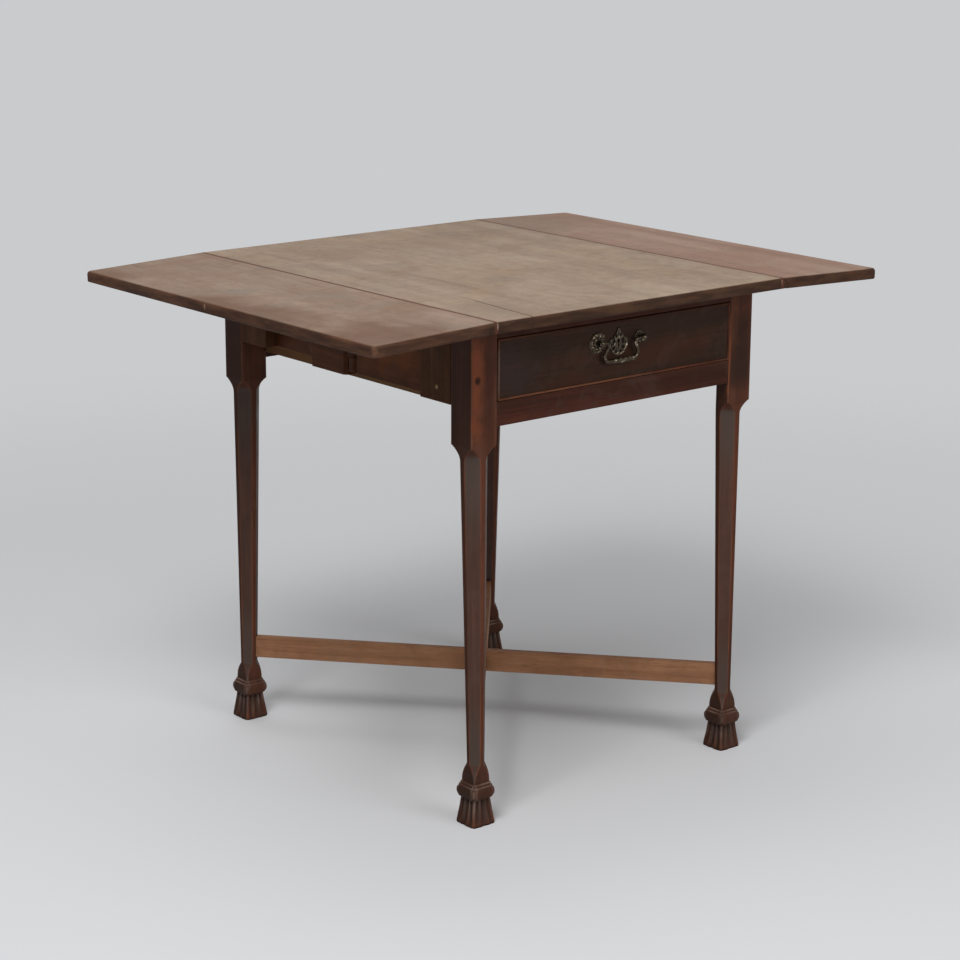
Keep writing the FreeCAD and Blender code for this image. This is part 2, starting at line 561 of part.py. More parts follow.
for label, side in SIDES.items():
    fly_span = mirrored(side, fly_inside, leg_reach_x)
    board_span = (f"-{inner_y} + packing_length", f"pivot_y - {knuckle_shoulder}")
    board = box(f"knuckle_board_{label}_plank", fly_span, board_span, (side_rail_bottom, underside))
    fingers, cuts = knuckles(f"knuckle_board_{label}", side, range(0, KNUCKLES, 2), "fly_thick / 2",
                             (f"pivot_y - {knuckle_shoulder} - overrun", "pivot_y"), f"-{knuckle_shoulder}")
    node(cut(f"knuckle_board_{label}_cut", fuse(f"knuckle_board_{label}_wood", [board] + fingers), cuts),
         f"knuckle_board_{label}")
    node(box(f"packing_front_{label}", fly_span, (f"-{inner_y}", f"-{inner_y} + packing_length"),
             (f"{side_rail_bottom} - packing_drop", underside)), f"packing_front_{label}")
    node(box(f"packing_back_{label}", fly_span, ("pivot_y + bracket_reach + packing_room", inner_y),
             (side_rail_bottom, underside)), f"packing_back_{label}")
    node(rod(f"knuckle_pin_{label}", "pivot_pin_radius", f"{underside} - {side_rail_bottom}", "z",
             f"{side} * {pivot_x}", "pivot_y", side_rail_bottom), f"knuckle_pin_{label}")

    name = f"fly_bracket_{label}"
    bracket_span = mirrored(side, f"{pivot_x} - {inner_face}", leg_reach_x)
    plank = box(name + "_plank", bracket_span, (f"pivot_y + {knuckle_shoulder}", "pivot_y + bracket_foot / 2"),
                (bracket_bottom, underside))
    profile = doc.addObject("Sketcher::SketchObject", name + "_profile")
    start = f"({knuckle_shoulder} + overrun)"
    outline(profile, [
        (start, bracket_bottom), ("bracket_foot - bracket_bevel", bracket_bottom, "scoop_radius", -1),
        ("bracket_reach - bracket_bevel - nose_run", nose_low, "nose_radius", 1),
        ("bracket_reach - bracket_bevel", f"{underside} - nose_drop"),
        ("bracket_reach - bracket_bevel", underside), (start, underside)])
    profile.Placement.Rotation = FreeCAD.Rotation(Vector(1, 1, 1), 120)
    at(profile, f"{side} * {leg_reach_x}", "pivot_y", "0")
    thick = "(fly_thick - bracket_gap)"
    ogee = doc.addObject("Part::Extrusion", name + "_ogee")
    ogee.Base = profile
    ogee.DirMode = "Custom"
    ogee.Solid = True
    bind(ogee, Dir__x=f"-{side} * {thick}", Dir__y="bracket_bevel", Dir__z="0",
         LengthFwd=f"sqrt({thick} ^ 2 + bracket_bevel ^ 2)")
    fingers, cuts = knuckles(name, side, range(1, KNUCKLES, 2), inner_face,
                             ("pivot_y", f"pivot_y + {knuckle_shoulder} + overrun"), knuckle_shoulder)
    slope = box(name + "_slope", mirrored(side, f"{fly_inside} - overrun", f"{leg_reach_x} + overrun"),
                ("pivot_y", "pivot_y + 2 * bracket_reach"),
                (f"{underside} - leaf_play", f"{underside} + top_thick"))
    slope.Placement.Rotation = FreeCAD.Rotation(Vector(1, 0, 0), -1)
    bind(slope, Placement__Rotation__Angle="-leaf_droop")
    node(cut(name + "_cut", fuse(name + "_wood", [plank, ogee] + fingers), cuts + [slope]), name)

# Drawer: lapped dovetails at the front, a bottom let into grooves and a back that stands on it
drawer_low = f"({drawer_floor} + drawer_gap)"
drawer_high = f"({drawer_ceiling} - drawer_gap)"
side_high = f"({drawer_high} - drawer_side_drop)"
drawer_half = f"({drawer_way} - drawer_gap)"
side_inside = f"({drawer_half} - drawer_side_thick)"
front_back = f"({front_face} + drawer_front_thick)"
drawer_end = f"({back_span[0]} - drawer_back_room)"
bottom_low = f"({drawer_low} + bottom_rise)"
bottom_high = f"({bottom_low} + drawer_bottom_thick)"
TAILS = 3
TAIL_ROOT = 0.26
TAIL_TIP = 0.36


def dovetailed_end():
    """Points up the front end of a drawer side, in and out around each tail."""
    pitch = f"(({side_high} - {drawer_low}) / {TAILS})"
    tip = f"{front_face} + drawer_front_lip"
    for index in range(TAILS):
        middle = f"{drawer_low} + {pitch} * {index + 0.5}"
        for y, share in ((front_back, -TAIL_ROOT), (tip, -TAIL_TIP), (tip, TAIL_TIP), (front_back, TAIL_ROOT)):
            yield y, f"{middle} + {pitch} * {share}"


drawer_bottom = box("drawer_bottom_board", (f"-{side_inside} - groove_depth", f"{side_inside} + groove_depth"),
                    (f"{front_back} - groove_depth", drawer_end), (bottom_low, bottom_high))
drawer_sides = []
for label, side in SIDES.items():
    tails = list(dovetailed_end())
    path = [(drawer_end, drawer_low), (front_back, drawer_low)] + tails
    path += [(front_back, side_high), (drawer_end, side_high)]
    blank = padded(f"drawer_side_{label}_blank", "YZ_Plane", path, "drawer_side_thick")
    at(blank, drawer_half + " - drawer_side_thick" if side > 0 else f"-{drawer_half}")
    drawer_sides.append(blank)
    node(cut(f"drawer_side_{label}_cut", blank, [drawer_bottom]), f"drawer_side_{label}")
node(drawer_bottom, "drawer_bottom")
node(box("drawer_back", (f"-{side_inside}", side_inside), (f"{drawer_end} - drawer_side_thick", drawer_end),
         (bottom_high, side_high)), "drawer_back")

# Lock let into the back of the drawer front, with a bolt that shoots up into the rail above
lock_middle = f"({front_back} - lock_thick / 2)"
lock_box = box("lock_body", span("0", "lock_width"), (f"{front_back} - lock_thick", front_back),
               (f"{drawer_high} - lock_height", drawer_high))
bolt_slot = box("bolt_slot", span("0", "bolt_width + 2 * bolt_play"),
                span(lock_middle, "bolt_thick + 2 * bolt_play"),
                (f"{drawer_high} - bolt_length - bolt_play", f"{drawer_high} + overrun"))
node(box("lock_bolt", span("0", "bolt_width"), span(lock_middle, "bolt_thick"),
         (f"{drawer_high} - bolt_length", drawer_high)), "lock_bolt")


def keyhole(name):
    reach = "drawer_front_thick + 2 * plate_thick"
    start = f"{front_face} - 2 * plate_thick"
    eye = rod(name + "_eye", "keyhole_radius", reach, "y", "0", start, keyhole_height)
    slot = box(name + "_slot", span("0", "keyhole_slot"), (start, f"{start} + {reach}"),
               (f"{keyhole_height} - keyhole_drop", keyhole_height))
    return fuse(name, [eye, slot])


node(cut("lock_case_cut", lock_box, [bolt_slot, keyhole("case_keyhole")]), "lock_case")

# Swan-neck handle: two posts through the drawer front, nuts inside, a rosette, a boss and the bail
bail_y = f"({front_face} - post_reach + post_ball)"
post_holes, posts, nuts = [], [], []
for label, side in SIDES.items():
    x = f"{side} * handle_spread / 2"
    shank = rod(f"post_{label}_shank", "shank_radius", "drawer_front_thick + nut_thick + shank_spare", "y", x,
                front_face, handle_height)
    stem = rod(f"post_{label}_stem", "post_radius", "post_reach - post_ball", "y", x, bail_y, handle_height)
    ball = doc.addObject("Part::Sphere", f"post_{label}_ball")
    at(bind(ball, Radius="post_ball"), x, bail_y, handle_height)
    bore = rod(f"post_{label}_bore", "bail_radius + bail_play", "handle_spread + 4 * post_ball", "x",
               "-handle_spread / 2 - 2 * post_ball", bail_y, handle_height)
    posts.append(cut(f"post_{label}_cut", fuse(f"post_{label}_metal", [shank, stem, ball]), [bore]))
    nut = rod(f"nut_{label}_disc", "nut_radius", "nut_thick", "y", x, front_back, handle_height)
    hole = rod(f"nut_{label}_hole", "shank_radius", "nut_thick + 2 * overrun", "y", x,
               f"{front_back} - overrun", handle_height)
    nuts.append(cut(f"nut_{label}_cut", nut, [hole]))
    post_holes.append(rod(f"post_{label}_hole", "shank_radius", "drawer_front_thick", "y", x, front_face,
                          handle_height))
    radius = "rosette_radius" if side < 0 else "boss_radius"
    disc = cone(f"rosette_{label}_disc", "post_radius + plate_thick", radius, "plate_thick", "y", x,
                f"{front_face} - plate_thick", handle_height)
    eye = rod(f"rosette_{label}_eye", "post_radius", "plate_thick + 2 * overrun", "y", x,
              f"{front_face} - plate_thick - overrun", handle_height)
    node(cut(f"rosette_{label}_cut", disc, [eye]), f"handle_rosette_{label}")
node(group("handle_posts_set", posts), "handle_posts")
node(group("handle_nuts_set", nuts), "handle_nuts")

turn = "bail_turn_angle"
neck_x = "(handle_spread / 2 - post_ball - bail_clear)"
neck = (f"{neck_x} - bail_neck * sin({turn})", f"-bail_neck + bail_neck * cos({turn})")
run = f"((bail_drop - bail_neck - bail_turn + (bail_neck + bail_turn) * cos({turn})) / sin({turn}))"
bulge = (f"{neck[0]} - {run} * cos({turn})", f"{neck[1]} - {run} * sin({turn})")
foot = (f"{bulge[0]} - bail_turn * sin({turn})", "-bail_drop")
right_half = [("handle_spread / 2", "0"), (neck_x, "0", "bail_neck", 1), neck, (*bulge, "bail_turn", -1), foot]
left_half = [(f"-({foot[0]})", foot[1], "bail_turn", -1), (f"-({bulge[0]})", bulge[1]),
             (f"-({neck[0]})", neck[1], "bail_neck", 1), (f"-{neck_x}", "0"), ("-handle_spread / 2", "0")]
bail = doc.addObject("PartDesign::Body", "bail_body")
spine = body_sketch(bail, "XZ_Plane", "bail_spine", right_half + left_half, closed=False)
ring = bail.newObject("Sketcher::SketchObject", "bail_ring")
ring.AttachmentSupport = [([f for f in bail.Origin.OriginFeatures if f.Role == "YZ_Plane"][0], "")]
ring.MapMode = "FlatFace"
bind(ring, AttachmentOffset__Base__z="handle_spread / 2")
ring.addGeometry(Part.Circle(Vector(0, 0, 0), Vector(0, 0, 1), number("bail_radius")), False)
ring.addConstraint(Sketcher.Constraint("Coincident", 0, 3, -1, 1))
ring_radius = ring.addConstraint(Sketcher.Constraint("Radius", 0, number("bail_radius")))
ring.setExpression(f"Constraints[{ring_radius}]", sized("bail_radius"))
pipe = bail.newObject("PartDesign::AdditivePipe", "bail_pipe")
pipe.Profile = ring
pipe.Spine = spine
node(at(bail, "0", bail_y, handle_height), "handle_bail")

ESCUTCHEON = {
    "right": [(0, 0, 0.78, 1), (0.5, 0.42, 0.7, -1), (0.3, 0.62, 0.75, 1), (0.22, 0.88, 0.89, 1)],
    "left": [(0, 1, 0.89, 1), (-0.22, 0.88, 0.75, 1), (-0.3, 0.62, 0.7, -1), (-0.5, 0.42, 0.78, 1)],
}
escutcheon_bottom = f"({handle_height} + escutcheon_rise - escutcheon_height)"


def plate_outline():
    """The plate's outline, in shares of its width and height, with each arc's radius a share of its chord."""
    corners = ESCUTCHEON["right"] + ESCUTCHEON["left"]
    for (x, z, bow, side), following in zip(corners, corners[1:] + corners[:1]):
        across, rise = following[0] - x, following[1] - z
        chord = f"sqrt((escutcheon_width * {across}) ^ 2 + (escutcheon_height * {rise}) ^ 2)"
        height = f"{escutcheon_bottom} + escutcheon_height * {z}"
        yield f"escutcheon_width * {x}", height, f"{bow} * {chord}", side


plate = padded("escutcheon_plate", "XZ_Plane", list(plate_outline()), "plate_thick")
at(plate, "0", front_face, "0")
node(cut("escutcheon_cut", plate, [keyhole("plate_keyhole")]), "escutcheon")

# Cock bead: four mitred strips let into the edges of the drawer front, with a rounded nose
strips = []
low_left, low_right = (f"-{drawer_half}", drawer_low), (drawer_half, drawer_low)
high_left, high_right = (f"-{drawer_half}", drawer_high), (drawer_half, drawer_high)
bead_nose = "-(bead_proud + bead_deep)"
for name, outer in (
    ("low", [low_left, low_right]), ("right", [low_right, high_right]),
    ("high", [high_right, high_left]), ("left", [high_left, low_left]),
):
    mitres = [(x + (" - bead_width" if x == drawer_half else " + bead_width"),
               z + (" - bead_width" if z == drawer_high else " + bead_width")) for x, z in reversed(outer)]
    strip = padded(f"bead_{name}", "XZ_Plane", outer + mitres, "bead_proud + bead_deep")
    at(strip, "0", f"{front_face} + bead_deep", "0")
    rounded(strip, "bead_round", lambda points: len(points) == 2 and all(near(p.y, bead_nose) for p in points)
            and (points[1] - points[0]).Length > 2 * number("bead_width"))
    strips.append(strip)
node(group("cock_bead_set", strips), "cock_beads")

front_board = box("drawer_front_board", (f"-{drawer_half}", drawer_half), (front_face, front_back),
                  (drawer_low, drawer_high))
node(cut("drawer_front_cut", front_board, drawer_sides + [drawer_bottom, lock_box, keyhole("front_keyhole")]
         + post_holes + strips), "drawer_front")

# Runners under the drawer sides, kickers above them, stops behind, and screws that hold the top down
runner_top = f"({drawer_low} - slide_play)"
runner_span = (f"{side_rail_inside} - runner_inset - runner_width", f"{side_rail_inside} - runner_inset")
between_rails = (front_span[1], back_span[0])
stops, screws, kickers = [], [], {}
SCREWS_A_SIDE = 3
SCREW_SPREAD = 0.7
for label, side in SIDES.items():
    xs = mirrored(side, *runner_span)
    node(box(f"drawer_runner_{label}", xs, between_rails, (f"{runner_top} - runner_height", runner_top)),
         f"drawer_runner_{label}")
    stop_start = f"{drawer_end} + slide_play"
    stops.append(box(f"drawer_stop_{label}", xs, (stop_start, f"{stop_start} + drawer_stop_thick"),
                     (runner_top, f"{runner_top} + drawer_stop_rise")))
    own = []
    for index in range(SCREWS_A_SIDE):
        x = f"{side} * ({side_rail_inside} - runner_inset - runner_width / 2)"
        y = f"({between_rails[1]}) * {(index - 1) * SCREW_SPREAD}"
        name = f"top_screw_{label}_{index}"
        head = cone(name + "_head", "2 * top_screw_radius", "top_screw_radius", "top_screw_radius", "z", x, y,
                    drawer_ceiling)
        shank = rod(name + "_shank", "top_screw_radius", "top_rail_height + top_screw_grip", "z", x, y,
                    drawer_ceiling)
        own.append(fuse(name, [head, shank]))
    screws += own
    bar = box(f"kicker_{label}_bar", xs, between_rails, (drawer_ceiling, underside))
    node(cut(f"kicker_{label}_cut", bar, own), f"kicker_{label}")
node(group("drawer_stops_set", stops), "drawer_stops")
node(group("top_screws_set", screws), "top_screws")
node(cut("top_board_cut", top, top_cuts + screws), "top_board")

doc.recompute()
for obj in doc.Objects:
    if "Invalid" in obj.State or "Error" in obj.State:
        raise RuntimeError(f"{obj.Name} did not build: {obj.State}")
for obj in nodes:
    if obj.Shape.isNull() or not obj.Shape.isValid() or not obj.Shape.Solids:
        raise RuntimeError(f"{obj.Label} has no sound shape")

os.makedirs("parts", exist_ok=True)
for obj in nodes:
    obj.Shape.exportStep(f"parts/{obj.Label}.step")
print(f"{len(nodes)} sub-parts written")
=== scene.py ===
import math
import bpy
import numpy as np
from mathutils import Matrix


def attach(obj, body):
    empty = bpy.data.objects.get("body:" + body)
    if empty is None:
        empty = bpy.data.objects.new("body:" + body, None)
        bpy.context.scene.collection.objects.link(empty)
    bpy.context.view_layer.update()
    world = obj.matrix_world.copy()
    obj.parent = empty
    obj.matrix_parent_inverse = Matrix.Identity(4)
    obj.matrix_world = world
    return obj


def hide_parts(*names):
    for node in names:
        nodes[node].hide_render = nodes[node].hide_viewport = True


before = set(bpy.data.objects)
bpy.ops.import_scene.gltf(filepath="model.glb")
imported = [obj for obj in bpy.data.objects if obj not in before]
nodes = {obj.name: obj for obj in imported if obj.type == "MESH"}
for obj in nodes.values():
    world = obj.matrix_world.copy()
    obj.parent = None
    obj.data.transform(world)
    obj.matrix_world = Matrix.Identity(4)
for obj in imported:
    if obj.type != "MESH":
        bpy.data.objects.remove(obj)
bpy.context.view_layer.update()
print("frame loaded:", len(nodes), "nodes")


# Node helpers: a keyword is an attribute of the node if it has one, and otherwise one of its sockets
def addNode(tree, kind, **values):
    item = tree.nodes.new("ShaderNode" + kind)
    for key, value in values.items():
        if hasattr(item, key):
            setattr(item, key, value)
        else:
            plug(tree, item.inputs[key.replace("_", " ")], value)
    return item


def plug(tree, socket, value):
    if isinstance(value, bpy.types.NodeSocket):
        tree.links.new(value, socket)
    else:
        socket.default_value = value


def startMaterial(name):
    material = bpy.data.materials.new(name)
    material.use_nodes = True
    tree = material.node_tree
    tree.nodes.clear()
    shader = addNode(tree, "BsdfPrincipled")
    output = addNode(tree, "OutputMaterial")
    tree.links.new(shader.outputs["BSDF"], output.inputs["Surface"])
    return material, tree, shader


def maths(tree, operation, first, second=0.0, third=0.0, clamp=False):
    item = addNode(tree, "Math", operation=operation, use_clamp=clamp)
    for socket, value in zip(item.inputs, (first, second, third)):
        plug(tree, socket, value)
    return item.outputs[0]


def mixed(tree, factor, first, second, blend="MIX"):
    item = addNode(tree, "MixRGB", blend_type=blend)
    for socket, value in zip(item.inputs, (factor, first, second)):
        plug(tree, socket, value)
    return item.outputs[0]


def ramp(tree, factor, stops):
    item = addNode(tree, "ValToRGB", Fac=factor)
    elements = item.color_ramp.elements
    while len(elements) < len(stops):
        elements.new(0.5)
    for element, (place, colour) in zip(elements, stops):
        element.position = place
        element.color = colour
    return item.outputs["Color"]


falling = (1.0, 0.0)  # for a band that goes from 1 down to 0


def band(tree, value, low, high, fromTo=(0.0, 1.0)):
    # A smooth step between two values
    item = addNode(tree, "MapRange", interpolation_type="SMOOTHSTEP")
    for socket, entry in zip(item.inputs, (value, low, high, *fromTo)):
        plug(tree, socket, entry)
    return item.outputs[0]


def noise(tree, vector, scale, detail=4.0, roughness=0.55, distortion=0.0):
    item = addNode(tree, "TexNoise", Vector=vector, Scale=scale, Detail=detail, Roughness=roughness,
                   Distortion=distortion)
    return item.outputs["Fac"]


def stretched(tree, vector, lengthwise, across, grain):
    # Squeezes space so that a texture is drawn out along the grain
    scale = {axis: across for axis in "xyz"}
    scale[grain] = lengthwise
    item = addNode(tree, "Mapping", Vector=vector, Scale=tuple(scale.values()))
    return item.outputs[0]


def axisOf(tree, vector, axis):
    return addNode(tree, "SeparateXYZ", Vector=vector).outputs[axis]


def rgb(red, green, blue):
    # A colour as it shows on screen, from 0 to 255, as linear light
    shares = np.array([red, green, blue]) / 255
    linear = np.where(shares <= 0.04045, shares / 12.92, ((shares + 0.055) / 1.055) ** 2.4)
    return (*linear.tolist(), 1.0)


def arrisMask(tree, rounding, sharp, flat=0.995):
    # How far the surface turns within a small radius: near 0 on a flat, near 1 on an arris
    true = addNode(tree, "NewGeometry")
    dot = addNode(tree, "VectorMath", operation="DOT_PRODUCT")
    tree.links.new(rounding.outputs[0], dot.inputs[0])
    tree.links.new(true.outputs["Normal"], dot.inputs[1])
    return band(tree, dot.outputs["Value"], 1.0 - sharp, flat, falling)


spotEdge = {"noiseScale": 2.2, "fade": (0.3, 1.0)}


def spot(tree, place, centre, size, ragged=0.0):
    # Distance from a point in units of the spot's half sizes, broken up by noise of its scale, with a soft edge
    offset = addNode(tree, "VectorMath", operation="SUBTRACT")
    shrunk = addNode(tree, "VectorMath", operation="DIVIDE")
    reach = addNode(tree, "VectorMath", operation="LENGTH")
    tree.links.new(place, offset.inputs[0])
    offset.inputs[1].default_value = centre
    tree.links.new(offset.outputs[0], shrunk.inputs[0])
    shrunk.inputs[1].default_value = size
    tree.links.new(shrunk.outputs[0], reach.inputs[0])
    distance = reach.outputs["Value"]
    if ragged:
        rough = noise(tree, place, spotEdge["noiseScale"] / max(size), detail=5, roughness=0.6, distortion=0.5)
        distance = maths(tree, "MULTIPLY_ADD", maths(tree, "SUBTRACT", rough, 0.5), ragged, distance)
    return band(tree, distance, *spotEdge["fade"], falling)


# Wood: drawn-out noise for ribbon and grain, dashes for pores, blotches of old polish, and worn arrises
woodGrain = {
    "ribbonLength": 1.6, "fineScale": (9, 330), "poreScale": (55, 1300), "ribbonShare": 0.6, "fineShare": 0.4,
    "figureStops": (0.3, 0.5, 0.7), "patinaRange": (0.36, 0.66), "poreRange": (0.58, 0.72), "arrisTurn": 0.3,
    "wearRange": (0.4, 0.66), "sheenFine": 0.35, "sheenBlotch": 0.65, "sheenRange": (0.3, 0.7), "poreRough": 0.12,
    "poreRelief": -0.6, "fineRelief": 0.5, "ribbonRelief": 0.5, "reliefDepth": 0.0006,
}


def woodFinish(name, ownLook):
    # Colour of the figure, then patina, pores, the look's own paints and wear, with a painted highlight in the wear
    # low on the legs, each mixed over the last
    look = {**woodGrain, **ownLook}
    material, tree, shader = startMaterial(name)
    place = addNode(tree, "TexCoord").outputs["Object"]
    turned = addNode(tree, "Mapping", Vector=place, Rotation=(0, 0, look.get("turn", 0.0)),
                     Location=look.get("shift", (0, 0, 0))).outputs[0]
    grain = look["grain"]
    ribbonPlace = stretched(tree, turned, look["ribbonLength"], look["ribbon"], grain)
    ribbon = noise(tree, ribbonPlace, 1, detail=5, roughness=0.6, distortion=0.4)
    finePlace = stretched(tree, turned, *look["fineScale"], grain)
    fine = noise(tree, finePlace, 1, detail=6, roughness=0.65, distortion=0.2)
    pores = noise(tree, stretched(tree, turned, *look["poreScale"], grain), 1, detail=2, roughness=0.5)
    blotch = noise(tree, turned, look["blotch"], detail=5, roughness=0.62, distortion=0.6)
    figure = maths(tree, "MULTIPLY", ribbon, look["ribbonShare"])
    figure = maths(tree, "MULTIPLY_ADD", fine, look["fineShare"], figure)
    shades = (look["dark"], look["middle"], look["light"])
    colour = ramp(tree, figure, list(zip(look["figureStops"], shades)))
    patina = band(tree, blotch, *look["patinaRange"])
    colour = mixed(tree, maths(tree, "MULTIPLY", patina, look["patina"]), colour, look["patinaColour"])
    pits = band(tree, pores, *look["poreRange"])
    colour = mixed(tree, maths(tree, "MULTIPLY", pits, look["pores"]), colour, look["poreColour"])
    rounding = addNode(tree, "Bevel", samples=6, Radius=look["arris"])
    if "rubbedAndSheen" in look:
        edges = addNode(tree, "Attribute", attribute_name=look["rubbedAndSheen"]).outputs["Fac"]
    else:
        edges = arrisMask(tree, rounding, look["arrisTurn"])
    wornAndSheen = maths(tree, "MULTIPLY", edges, band(tree, blotch, *look["wearRange"], (look["leastWear"], 1.0)))
    for paint in look["paints"]:
        colour = paint(tree, place, colour, look)
    wearColour = look["wearColour"]
    # Low on the legs the worn places take a pale grey: a painted highlight on the foot's fillets and reeds, over their
    # wear
    if "lowWearSheen" in look:
        height = axisOf(tree, place, "Z")
        above = band(tree, height, *look["lowWearSheenRise"])
        low = maths(tree, "MULTIPLY", above, band(tree, height, *look["lowWearSheenFall"], falling))
        wearColour = mixed(tree, low, wearColour, look["lowWearSheen"])
    colour = mixed(tree, maths(tree, "MULTIPLY", wornAndSheen, look["wear"]), colour, wearColour)
    plug(tree, shader.inputs["Base Color"], colour)
    sheen = maths(tree, "MULTIPLY", blotch, look["sheenBlotch"])
    sheen = maths(tree, "MULTIPLY_ADD", fine, look["sheenFine"], sheen)
    gloss = band(tree, sheen, *look["sheenRange"], look["gloss"])
    plug(tree, shader.inputs["Roughness"], maths(tree, "MULTIPLY_ADD", pits, look["poreRough"], gloss))
    shader.inputs["Specular IOR Level"].default_value = look["shine"]
    relief = maths(tree, "MULTIPLY", fine, look["fineRelief"])
    relief = maths(tree, "MULTIPLY_ADD", pits, look["poreRelief"], relief)
    relief = maths(tree, "MULTIPLY_ADD", ribbon, look["ribbonRelief"], relief)
    bump = addNode(tree, "Bump", Strength=look["relief"], Distance=look["reliefDepth"], Height=relief)
    tree.links.new(rounding.outputs[0], bump.inputs["Normal"])
    tree.links.new(bump.outputs[0], shader.inputs["Normal"])
    return material


# Brass gone dark, bright where hands and cloths rub it, with painted highlights in patches
brassWear = {
    "arrisTurn": 0.4, "rubRange": (0.3, 0.6), "leastRub": 0.4, "lightPatchRange": (0.56, 0.7), "cloudRange": (0.35, 0.65),
    "grimeRange": (0.35, 0.85), "speckRange": (0.62, 0.74), "speckDirt": 0.5, "glossRange": (0.3, 0.7),
    "relief": 0.25, "reliefDepth": 0.0002,
}


def brassFinish(name, ownLook):
    # Clouds between two dark tones, rubbed bright on arrises, painted highlights in bright patches, with grime in
    # hollows and specks
    look = {**brassWear, **ownLook}
    material, tree, shader = startMaterial(name)
    place = addNode(tree, "TexCoord").outputs["Object"]
    cloud = noise(tree, place, look["cloud"], detail=5, roughness=0.6)
    speck = noise(tree, place, look["speck"], detail=3, roughness=0.6)
    hollow = addNode(tree, "AmbientOcclusion", samples=6, Distance=look["hollow"]).outputs["AO"]
    rounding = addNode(tree, "Bevel", samples=6, Radius=look["arris"])
    uneven = band(tree, cloud, *look["rubRange"], (look["leastRub"], 1.0))
    rubbedAndSheen = maths(tree, "MULTIPLY", arrisMask(tree, rounding, look["arrisTurn"]), uneven)
    # Painted highlights: bright patches where the clouds run high
    rubbedAndSheen = maths(tree, "MAXIMUM", rubbedAndSheen, band(tree, cloud, *look["lightPatchRange"], (0.0, look["lightPatches"])))
    colour = mixed(tree, band(tree, cloud, *look["cloudRange"]), look["dark"], look["middle"])
    colour = mixed(tree, rubbedAndSheen, colour, look["bright"])
    grime = band(tree, hollow, *look["grimeRange"], (look["grime"], 0.0))
    colour = mixed(tree, grime, colour, look["grimeColour"])
    colour = mixed(tree, band(tree, speck, *look["speckRange"], (0.0, look["speckDirt"])), colour, look["grimeColour"])
    if "pierced" in look:
        # The sunk piercings are painted near-black to read as holes: painted shade over the dark of the drawer wood
        sunk = addNode(tree, "Attribute", attribute_name=look["pierced"]).outputs["Fac"]
        colour = mixed(tree, sunk, colour, look["piercedColour"])
    plug(tree, shader.inputs["Base Color"], colour)
    shader.inputs["Metallic"].default_value = look["metal"]
    plug(tree, shader.inputs["Roughness"], band(tree, speck, *look["glossRange"], look["gloss"]))
    bump = addNode(tree, "Bump", Strength=look["relief"], Distance=look["reliefDepth"], Height=speck)
    tree.links.new(bump.outputs[0], shader.inputs["Normal"])
    return material


# Paints: each takes the wood's colour so far and lays one kind of mark over it
def darkEdges(tree, place, colour, look):
    # The boards' sides are dark with old polish, in streaks along the edge
    up = axisOf(tree, addNode(tree, "TexCoord").outputs["Normal"], "Z")
    side = band(tree, maths(tree, "ABSOLUTE", up), *look["edgeTurn"], falling)
    streak = noise(tree, stretched(tree, place, *look["streakScale"], "z"), 1, detail=5, roughness=0.6)
    dark = mixed(tree, band(tree, streak, *look["streakRange"]), look["edgeColour"], look["edgeLight"])
    return mixed(tree, maths(tree, "MULTIPLY", side, look["edge"]), colour, dark)


def darkUnder(tree, place, colour, look):
    # The undersides never saw the light and are brown and dry
    up = axisOf(tree, addNode(tree, "TexCoord").outputs["Normal"], "Z")
    return mixed(tree, band(tree, up, *look["underTurn"], (look["under"], 0.0)), colour, look["underColour"])


def cloudy(tree, place, colour, look):
    # Grey clouds, warm clouds and small flecks in the faded polish
    clouds = noise(tree, place, look["cloudSize"], detail=4, roughness=0.6, distortion=1.2)
    grey = band(tree, clouds, *look["greyRange"], (0.0, look["greyCloud"]))
    shifted = addNode(tree, "Mapping", Vector=place, Location=look["warmShift"]).outputs[0]
    clouds = noise(tree, shifted, look["cloudSize"] * look["warmScale"], detail=4, roughness=0.6, distortion=1.0)
    warm = band(tree, clouds, *look["warmRange"], (0.0, look["warmCloud"]))
    flecks = noise(tree, place, look["fleckSize"], detail=4, roughness=0.65, distortion=0.6)
    fleck = band(tree, flecks, *look["fleckRange"], (0.0, look["fleck"]))
    colour = mixed(tree, grey, colour, look["greyColour"])
    colour = mixed(tree, warm, colour, look["warmColour"])
    return mixed(tree, fleck, colour, look["fleckColour"])


def jointLines(tree, place, colour, look):
    # Dirt gathers in a reddish line along the rule joints
    across = maths(tree, "ABSOLUTE", axisOf(tree, place, "X"))
    away = maths(tree, "ABSOLUTE", maths(tree, "SUBTRACT", across, look["jointX"]))
    near = band(tree, away, *look["jointWidth"], (look["jointDirt"], 0.0))
    return mixed(tree, near, colour, look["jointColour"])


def topSplit(tree, place, colour, look):
    # A split that runs in from the front edge along the grain: distance from a slanting, wavering line
    apart = addNode(tree, "SeparateXYZ", Vector=place)
    rough = noise(tree, place, look["waverScale"], detail=3, roughness=0.5)
    waver = maths(tree, "MULTIPLY", maths(tree, "SUBTRACT", rough, 0.5), look["waver"])
    line = maths(tree, "MULTIPLY_ADD", apart.outputs["Y"], look["splitSlope"], look["splitStart"])
    away = maths(tree, "SUBTRACT", apart.outputs["X"], maths(tree, "ADD", line, waver))
    along = band(tree, apart.outputs["Y"], *look["splitRun"], falling)
    crack = band(tree, maths(tree, "ABSOLUTE", away), *look["splitWidth"], falling)
    crack = maths(tree, "MULTIPLY", crack, along)
    return mixed(tree, maths(tree, "MULTIPLY", crack, look["split"]), colour, look["splitColour"])


def spots(tree, place, colour, look, kind="spots"):
    # Rubbed and chipped places, and some painted light and shade: centre, half sizes, colour, strength and raggedness
    # of each
    for centre, size, tint, strength, ragged in look[kind]:
        mask = spot(tree, place, centre, size, ragged)
        colour = mixed(tree, maths(tree, "MULTIPLY", mask, strength), colour, tint)
    return colour


def stains(tree, place, colour, look):
    # Stains in the polish of a face, laid before its edges are darkened
    return spots(tree, place, colour, look, "stains")


